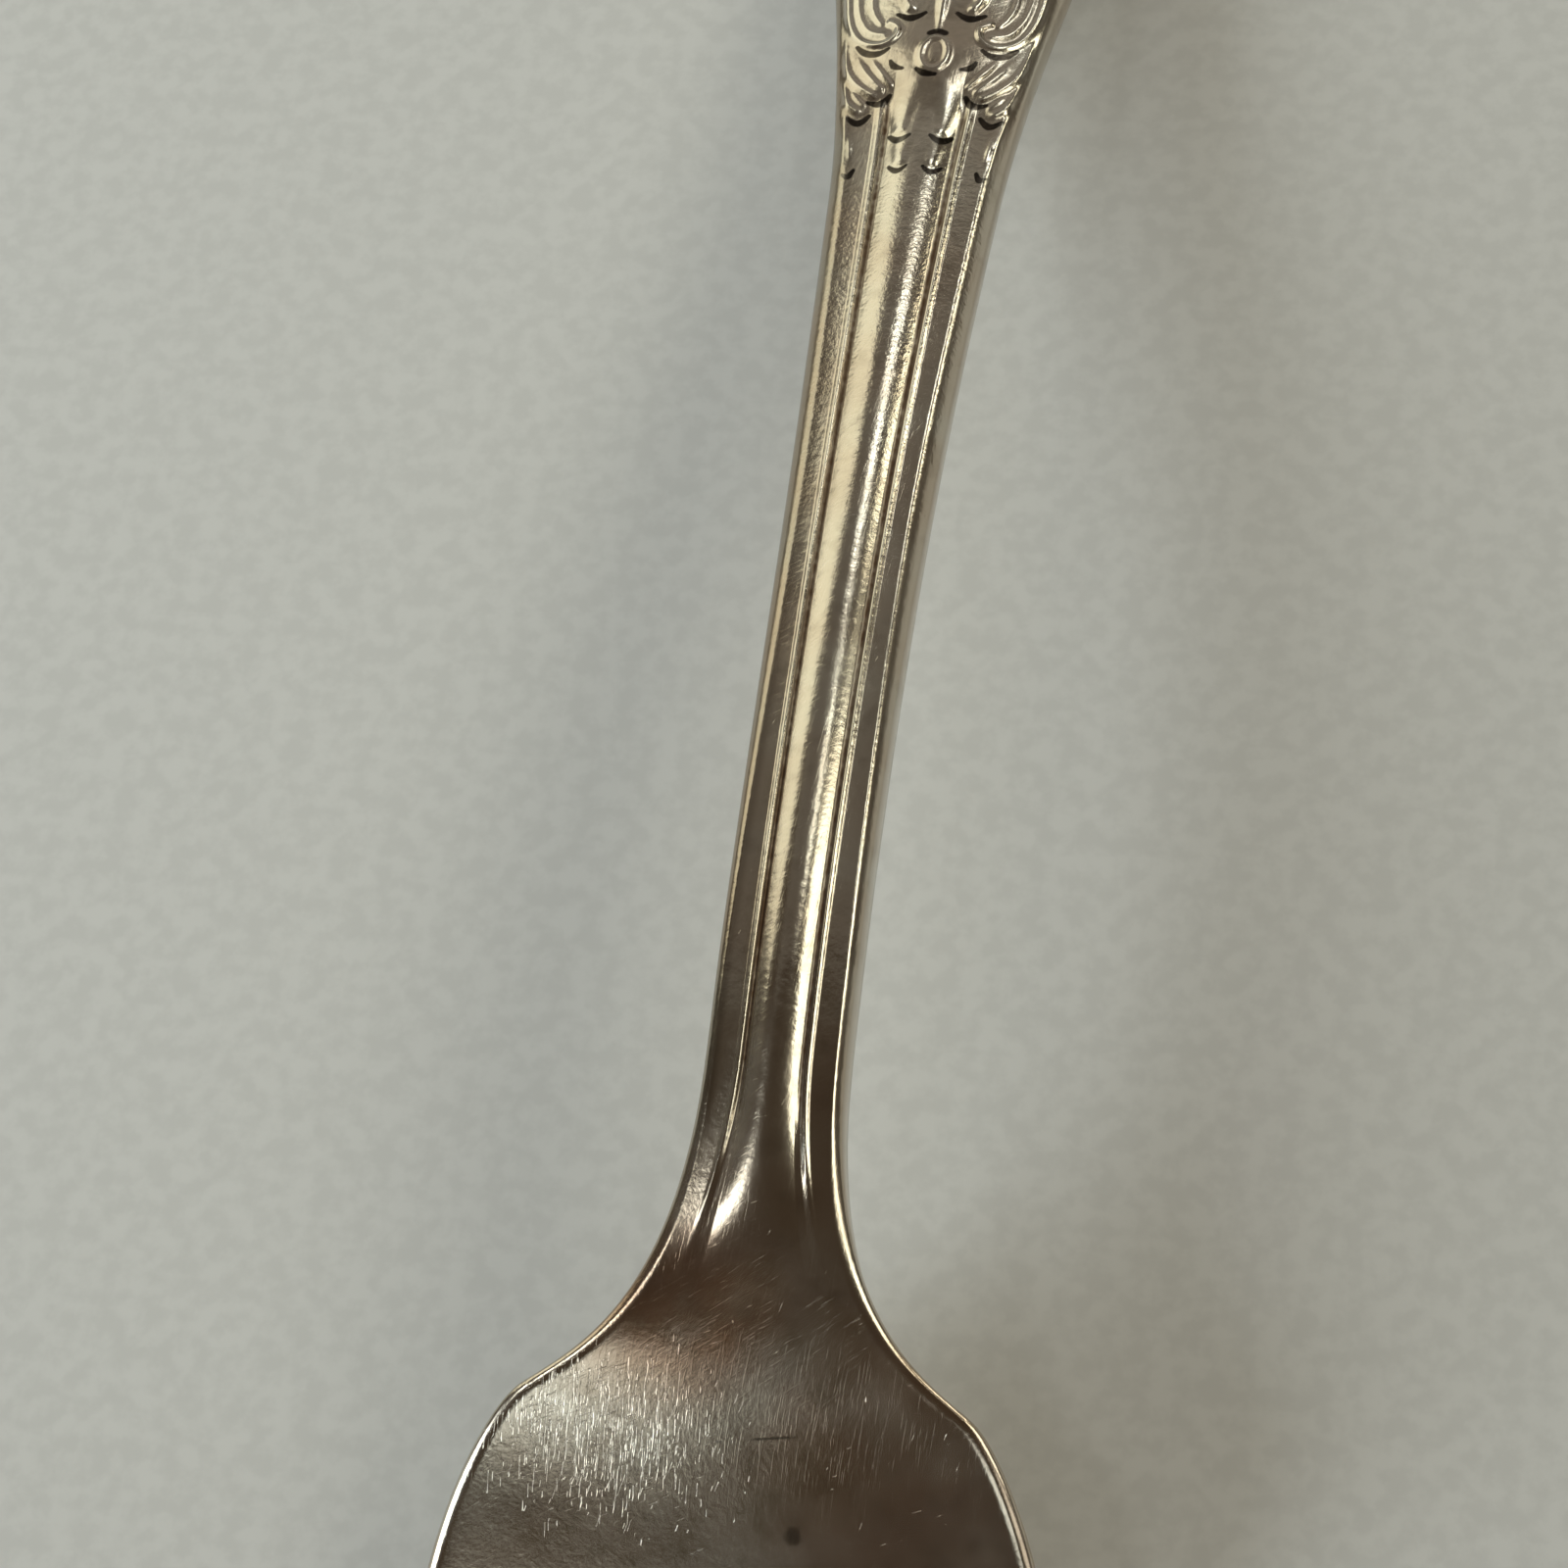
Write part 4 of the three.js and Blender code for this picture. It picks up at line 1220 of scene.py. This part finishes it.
shoulder = round_place(centre=(-5.8, -29.2, 0), stretch=(0.45, 0.75, 0), near=0.4, far=4.0)
worn_patch = round_place(centre=(-2.6, -24.5, 0), stretch=(0.5, 0.65, 0), near=0.6, far=3.2)
# The brown patch on the right of the head is a painted reflection of the dark brown room round the fork.
painted_reflection_patch = round_place(centre=(6.0, -29.0, 0), stretch=(0.45, 0.45, 0), near=0.5, far=3.4)
print("three worn places on the head")

# %% Scratches and polishing lines
SCUFF_ELSEWHERE = -0.10
# Turn in radians, width and length in millimetres, and share of the amount
SCRATCH_LAYERS = [(0.03, 0.06, 1.2, 1.0), (0.35, 0.05, 1.1, 0.5), (1.2, 0.05, 1.0, 0.6)]
POLISH_LAYERS = [(0.12, 0.09, 1.5, 0.75), (1.0, 0.08, 1.4, 0.6)]


def hairline_layers(layers, amount):
    """The strongest of some layers of hairlines."""
    strongest = 0.0
    for turn, width, length, share in layers:
        layer = use_group(plate, hairlines, {
            "Vector": in_mm, "Turn": turn, "Width": width, "Length": length,
            "Amount": reckon(plate, "MULTIPLY", share, amount),
        })
        strongest = reckon(plate, "MAXIMUM", strongest, layer["Mask"])
    return strongest


scuffed = reckon(plate, "ADD", SCUFF_ELSEWHERE, shoulder)
scratched = hairline_layers(SCRATCH_LAYERS, scuffed)
polish_lines = hairline_layers(POLISH_LAYERS, 1.0)
print(len(SCRATCH_LAYERS) + len(POLISH_LAYERS), "layers of hairlines")

# %% The long scratch, the pit, and dirt and painted shade in the cuts
BREAK_SCALE = 1.3
BREAK_START = 0.4
BREAK_FULL = 0.6
MARK_SHARE = 0.6
CUT_DIRT_AND_SHADE_START = 0.05
CUT_DIRT_AND_SHADE_FULL = 0.5
CUT_DIRT_AND_SHADE_SHARE = 0.97
long_scratch = use_group(plate, mark, {
    "Vector": in_mm, "Place": (0.9, -28.95, 0), "Turn": -0.12, "Length": 3.8, "Width": 0.075,
})["Mask"]
pit = use_group(plate, mark, {
    "Vector": in_mm, "Place": (2.32, -32.3, 0), "Turn": 0.0, "Length": 0.1, "Width": 0.42,
})["Mask"]
unbroken = step_between(plate, speckle(plate, in_mm, BREAK_SCALE), BREAK_START, BREAK_FULL)
broken_scratch = reckon(plate, "MULTIPLY", long_scratch, unbroken)
marks = reckon(plate, "MULTIPLY", MARK_SHARE, reckon(plate, "MAXIMUM", broken_scratch, pit))
marks = reckon(plate, "MULTIPLY", marks, in_front)
# The cuts of the ornament are painted almost black: dirt, and painted shade under their undercut walls.
grime = step_between(plate, stored("grime"), CUT_DIRT_AND_SHADE_START, CUT_DIRT_AND_SHADE_FULL)
marks = reckon(plate, "MAXIMUM", marks, reckon(plate, "MULTIPLY", CUT_DIRT_AND_SHADE_SHARE, grime))
print("plate material has", len(plate.nodes), "nodes with its marks")

# %% Colour of the plate
CLEAN_SILVER = (0.72, 0.67, 0.58, 1)
WEAR_AND_REFLECTION_BROWN = (0.50, 0.29, 0.19, 1)
EDGE_DARK_GREY = (0.31, 0.275, 0.215, 1)
DIRT_AND_SHADE_BLACK = (0.035, 0.027, 0.021, 1)
STAIN_BROWN = (0.30, 0.24, 0.17, 1)
RUBBED_AND_HIGHLIGHT_SILVER = (0.80, 0.76, 0.68, 1)
PAINTED_REFLECTION_SHARE = 0.6
BROWN_SCALE = 0.5
BROWN_LEAST = 0.2
EDGE_DARK_SHARE = 0.22
LEFT_EDGE_DARK_SHARE = 0.53  # on top of the other, from here to there across the middle
LEFT_FROM = -1.0
LEFT_TO = 1.0
TINT_SHARE = 0.3
STAIN_SCALE = 0.8
STAIN_START = 0.48
STAIN_FULL = 0.75
STAIN_SHARE = 0.3
RUBBED_AND_HIGHLIGHT_SHARE = 0.5
# Brown where the plate is worn, and brown painted on the right of the head as a painted reflection.
wear_and_painted_reflection = reckon(plate, "MAXIMUM", worn_patch, reckon(plate, "MULTIPLY", PAINTED_REFLECTION_SHARE, painted_reflection_patch))
uneven_brown = reckon(plate, "ADD", BROWN_LEAST, speckle(plate, in_mm, BROWN_SCALE, 3.0))
brown = reckon(plate, "MULTIPLY", wear_and_painted_reflection, uneven_brown)
clean = mix_colour(plate, brown, CLEAN_SILVER, WEAR_AND_REFLECTION_BROWN)
# The bevelled edge is painted a darker grey, more on the left.
left_side = step_between(plate, reckon(plate, "MULTIPLY", -1.0, axes["X"]), LEFT_FROM, LEFT_TO)
edge_dark_here = plus_share(plate, EDGE_DARK_SHARE, LEFT_EDGE_DARK_SHARE, left_side)
clean = mix_colour(plate, reckon(plate, "MULTIPLY", stored("rim"), edge_dark_here), clean, EDGE_DARK_GREY)
aged = use_group(plate, tarnish, {
    "Vector": in_mm, "Hollow": stored("hollow"), "Film": TINT_SHARE, "Clean Colour": clean,
})
marked = mix_colour(plate, marks, aged["Colour"], DIRT_AND_SHADE_BLACK)
stains = step_between(plate, speckle(plate, in_mm, STAIN_SCALE, 4.0), STAIN_START, STAIN_FULL)
stained = mix_colour(plate, reckon(plate, "MULTIPLY", STAIN_SHARE, stains), marked, STAIN_BROWN)
# Ridges are painted lighter: partly silver rubbed bright, partly a painted highlight.
rubbed_and_highlit = mix_colour(plate, reckon(plate, "MULTIPLY", RUBBED_AND_HIGHLIGHT_SHARE, ridges), stained, RUBBED_AND_HIGHLIGHT_SILVER)
feed(plate, shader.inputs["Base Color"], rubbed_and_highlit)
print("clean silver", CLEAN_SILVER[:3])

# %% Roughness of the plate
SATIN = 0.13
CLOUD_SCALE = 0.35
CLOUD_ROUGHNESS = 0.14
SCRATCH_ROUGHNESS = 0.06
TARNISH_ROUGHNESS = 0.3
RUBBED_ROUGHNESS = -0.05
clouds = speckle(plate, in_mm, CLOUD_SCALE, 3.0)
roughness = plus_share(plate, SATIN, CLOUD_ROUGHNESS, clouds)
roughness = plus_share(plate, roughness, SCRATCH_ROUGHNESS, scratched)
roughness = plus_share(plate, roughness, TARNISH_ROUGHNESS, aged["Mask"])
roughness = plus_share(plate, roughness, RUBBED_ROUGHNESS, ridges)
feed(plate, shader.inputs["Roughness"], roughness)
print("roughness from", SATIN + RUBBED_ROUGHNESS, "up")

# %% Knocks and scratches as fine slopes
SLOPE_HEIGHT = 0.009  # a depth of 1 below, in millimetres
KNOCK_SCALE = 0.55
KNOCK_DEPTH = 1.4
DENT_SCALE = 2.4
DENT_DEPTH = 1.4
GRAIN_STRETCH = (7.0, 1.1, 1.1)
GRAIN_DEPTH = 0.3
HEAD_SHARE = 0.3  # of the unevenness that the handle has
HANDLE_FROM = -24.0
HANDLE_TO = -12.0
PORE_SCALE = 5.0
PORE_DEPTH = 0.4
UPPER_PORE_DEPTH = 1.5  # on top of the other, on the upper stem
UPPER_FROM = (8.0, 26.0)
UPPER_TO = (30.0, 37.0)
SCRATCH_DEPTH = 0.85
POLISH_DEPTH = 0.10
grain = speckle(plate, reckon_vector(plate, "MULTIPLY", in_mm, GRAIN_STRETCH), 1.0, 2.0)
unevenness = reckon(plate, "MULTIPLY", KNOCK_DEPTH, speckle(plate, in_mm, KNOCK_SCALE, 1.0))
unevenness = plus_share(plate, unevenness, DENT_DEPTH, speckle(plate, in_mm, DENT_SCALE, 2.0))
unevenness = plus_share(plate, unevenness, GRAIN_DEPTH, grain)
on_handle = step_between(plate, axes["Y"], HANDLE_FROM, HANDLE_TO)
here = plus_share(plate, HEAD_SHARE, 1 - HEAD_SHARE, on_handle)
upper_stem = reckon(plate, "SUBTRACT", step_between(plate, axes["Y"], *UPPER_FROM),
                    step_between(plate, axes["Y"], *UPPER_TO))
pore_depth = plus_share(plate, PORE_DEPTH, UPPER_PORE_DEPTH, upper_stem)
pores = reckon(plate, "MULTIPLY", pore_depth, speckle(plate, in_mm, PORE_SCALE, 2.0))
surface = reckon(plate, "ADD", reckon(plate, "MULTIPLY", here, unevenness), pores)
surface = plus_share(plate, surface, -SCRATCH_DEPTH, scratched)
surface = plus_share(plate, surface, -POLISH_DEPTH, polish_lines)
slopes = add_node(plate, "ShaderNodeBump",
                  {"Strength": 1.0, "Distance": SLOPE_HEIGHT * MM, "Height": surface})
feed(plate, shader.inputs["Normal"], slopes.outputs[0])
for piece in pieces.values():
    if not piece.data.materials:
        piece.data.materials.append(silver)
print("plate material has", len(plate.nodes), "nodes")

# %% [markdown]
# ## Floor
# The fork lies on a pale plain sheet. A flat disc that turns up into a low wall far away gives a horizon
# without a line. It is turned round the upright axis from one short outline.

# %% Floor turned from an outline
FLOOR_OUTLINE = [(1.1, 0.0), (1.25, 0.015), (1.38, 0.06), (1.47, 0.14), (1.5, 0.26), (1.5, 0.45)]
FLOOR_SIDES = 96
FLOOR_DROP = 0.00002  # just below the fork, so that the two surfaces don't mix
floor_points = [(0, 0, -FLOOR_DROP)]
for radius, height in FLOOR_OUTLINE:
    for side in range(FLOOR_SIDES):
        angle = 2 * math.pi * side / FLOOR_SIDES
        floor_points.append((radius * math.cos(angle), radius * math.sin(angle), height - FLOOR_DROP))
floor_faces = [(0, 1 + side, 1 + (side + 1) % FLOOR_SIDES) for side in range(FLOOR_SIDES)]
for ring in range(len(FLOOR_OUTLINE) - 1):
    near = 1 + ring * FLOOR_SIDES
    far = near + FLOOR_SIDES
    for side in range(FLOOR_SIDES):
        beside = (side + 1) % FLOOR_SIDES
        floor_faces.append((near + side, far + side, far + beside, near + beside))
floor_mesh = bpy.data.meshes.new("pale_floor")
floor_mesh.from_pydata(floor_points, [], floor_faces)
floor_mesh.polygons.foreach_set("use_smooth", [True] * len(floor_faces))
floor = bpy.data.objects.new("pale_floor", floor_mesh)
bpy.context.scene.collection.objects.link(floor)
print("floor has", len(floor_faces), "faces")

# %% Finish of the floor
SHEET_ROUGHNESS = 0.75
MOTTLE_SCALE = 0.9
MOTTLE_START = 0.35
MOTTLE_FULL = 0.65
SHEET_DARK = (0.69, 0.685, 0.675, 1)
SHEET_LIGHT = (0.747, 0.742, 0.732, 1)
floor_paint = bpy.data.materials.new("pale_sheet")
floor_paint.use_nodes = True
sheet = floor_paint.node_tree
sheet_shader = sheet.nodes["Principled BSDF"]
sheet_shader.inputs["Roughness"].default_value = SHEET_ROUGHNESS
specks = speckle(sheet, in_millimetres(sheet), MOTTLE_SCALE, 3.0)
mottle = step_between(sheet, specks, MOTTLE_START, MOTTLE_FULL)
feed(sheet, sheet_shader.inputs["Base Color"], mix_colour(sheet, mottle, SHEET_DARK, SHEET_LIGHT))
floor_mesh.materials.append(floor_paint)
print("floor from", SHEET_DARK[:3], "to", SHEET_LIGHT[:3])

# %% [markdown]
# ## Light
# Metal shows what stands round it, so the lamps were placed by following the picture's highlights back from
# the fork. A wide cream wall at the back left makes the broad band on the roll. Five lamps from the back to
# the right make the bright lines on the roll, the beads and the bevel, each on its own stretch of the bent
# stem. A cool window at the front left lights the sheet, and a small lamp above it lights the neck. Dim
# glows from the front, the right and the back fill the head. Everything else is a dark, warm room.

# %% Room and lamps
ROOM_COLOUR = (0.052, 0.037, 0.024, 1)
LAMP_REACH = 0.8
scene = bpy.context.scene
scene.view_settings.view_transform = "Standard"
world = bpy.data.worlds.new("room")
scene.world = world
world.use_nodes = True
world.node_tree.nodes["Background"].inputs["Color"].default_value = ROOM_COLOUR


def lamp(name, tilt, turn, size, radiance, colour, reach=LAMP_REACH, spread=180, aside=(0, 0, 0)):
    """A rectangular lamp: tilt from straight above and turn from the x axis in degrees, facing the fork."""
    data = bpy.data.lights.new(name, "AREA")
    data.shape = "RECTANGLE"
    data.size, data.size_y = size
    data.energy = radiance * math.pi * size[0] * size[1]
    data.color = colour
    data.spread = math.radians(spread)
    lamp_object = bpy.data.objects.new(name, data)
    tilt = math.radians(tilt)
    turn = math.radians(turn)
    direction = Vector((math.sin(tilt) * math.cos(turn), math.sin(tilt) * math.sin(turn), math.cos(tilt)))
    sideways = Vector((-math.sin(turn), math.cos(turn), 0))
    upward = direction.cross(sideways)
    place = direction * reach + Vector(aside)
    facing = Matrix((sideways, upward, direction)).transposed()
    lamp_object.matrix_world = Matrix.Translation(place) @ facing.to_4x4()
    scene.collection.objects.link(lamp_object)
    print(name, "at", [round(value, 2) for value in place], "m")


lamp("cream_wall", tilt=65, turn=135, size=(0.60, 0.44), radiance=1.09, colour=(1.0, 0.985, 0.765))
lamp("narrow_lamp", tilt=51, turn=73, size=(0.10, 0.20), radiance=3.6, colour=(0.97, 1.0, 0.91))
lamp("near_lamp", tilt=35, turn=57, size=(0.09, 0.20), radiance=2.6, colour=(0.98, 1.0, 0.86))
lamp("upper_warm", tilt=67, turn=52, size=(0.08, 0.20), radiance=4.6, colour=(1.0, 0.98, 0.76))
lamp("warm_lamp", tilt=50, turn=29, size=(0.20, 0.30), radiance=3.0, colour=(1.0, 0.98, 0.77))
lamp("neck_warm", tilt=51, turn=9, size=(0.20, 0.28), radiance=2.8, colour=(1.0, 0.98, 0.81))
lamp("cool_window", tilt=63, turn=212, size=(0.30, 0.28), radiance=1.24, colour=(0.885, 0.985, 1.0),
     reach=0.42, spread=62, aside=(-0.125, 0.03, 0))
lamp("neck_catch", tilt=31, turn=194, size=(0.138, 0.118), radiance=5.5, colour=(0.97, 1.0, 0.94))
lamp("front_glow", tilt=38.5, turn=272, size=(0.20, 0.17), radiance=1.28, colour=(0.93, 1.0, 0.94))
lamp("right_glow", tilt=50, turn=331, size=(0.34, 0.36), radiance=0.95, colour=(1.0, 0.955, 0.82))
lamp("right_low", tilt=76, turn=345, size=(0.70, 0.30), radiance=0.05, colour=(1.0, 0.95, 0.86))
lamp("back_ceiling", tilt=38, turn=95, size=(1.0, 0.9), radiance=0.078, colour=(0.98, 1.0, 0.92), reach=1.1)
lamp("back_glow", tilt=71, turn=92, size=(0.5, 0.36), radiance=0.19, colour=(1.0, 0.97, 0.87))

# %% Ride on the frame and finish
for section, piece in pieces.items():
    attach(piece, "root")
    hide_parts(section)
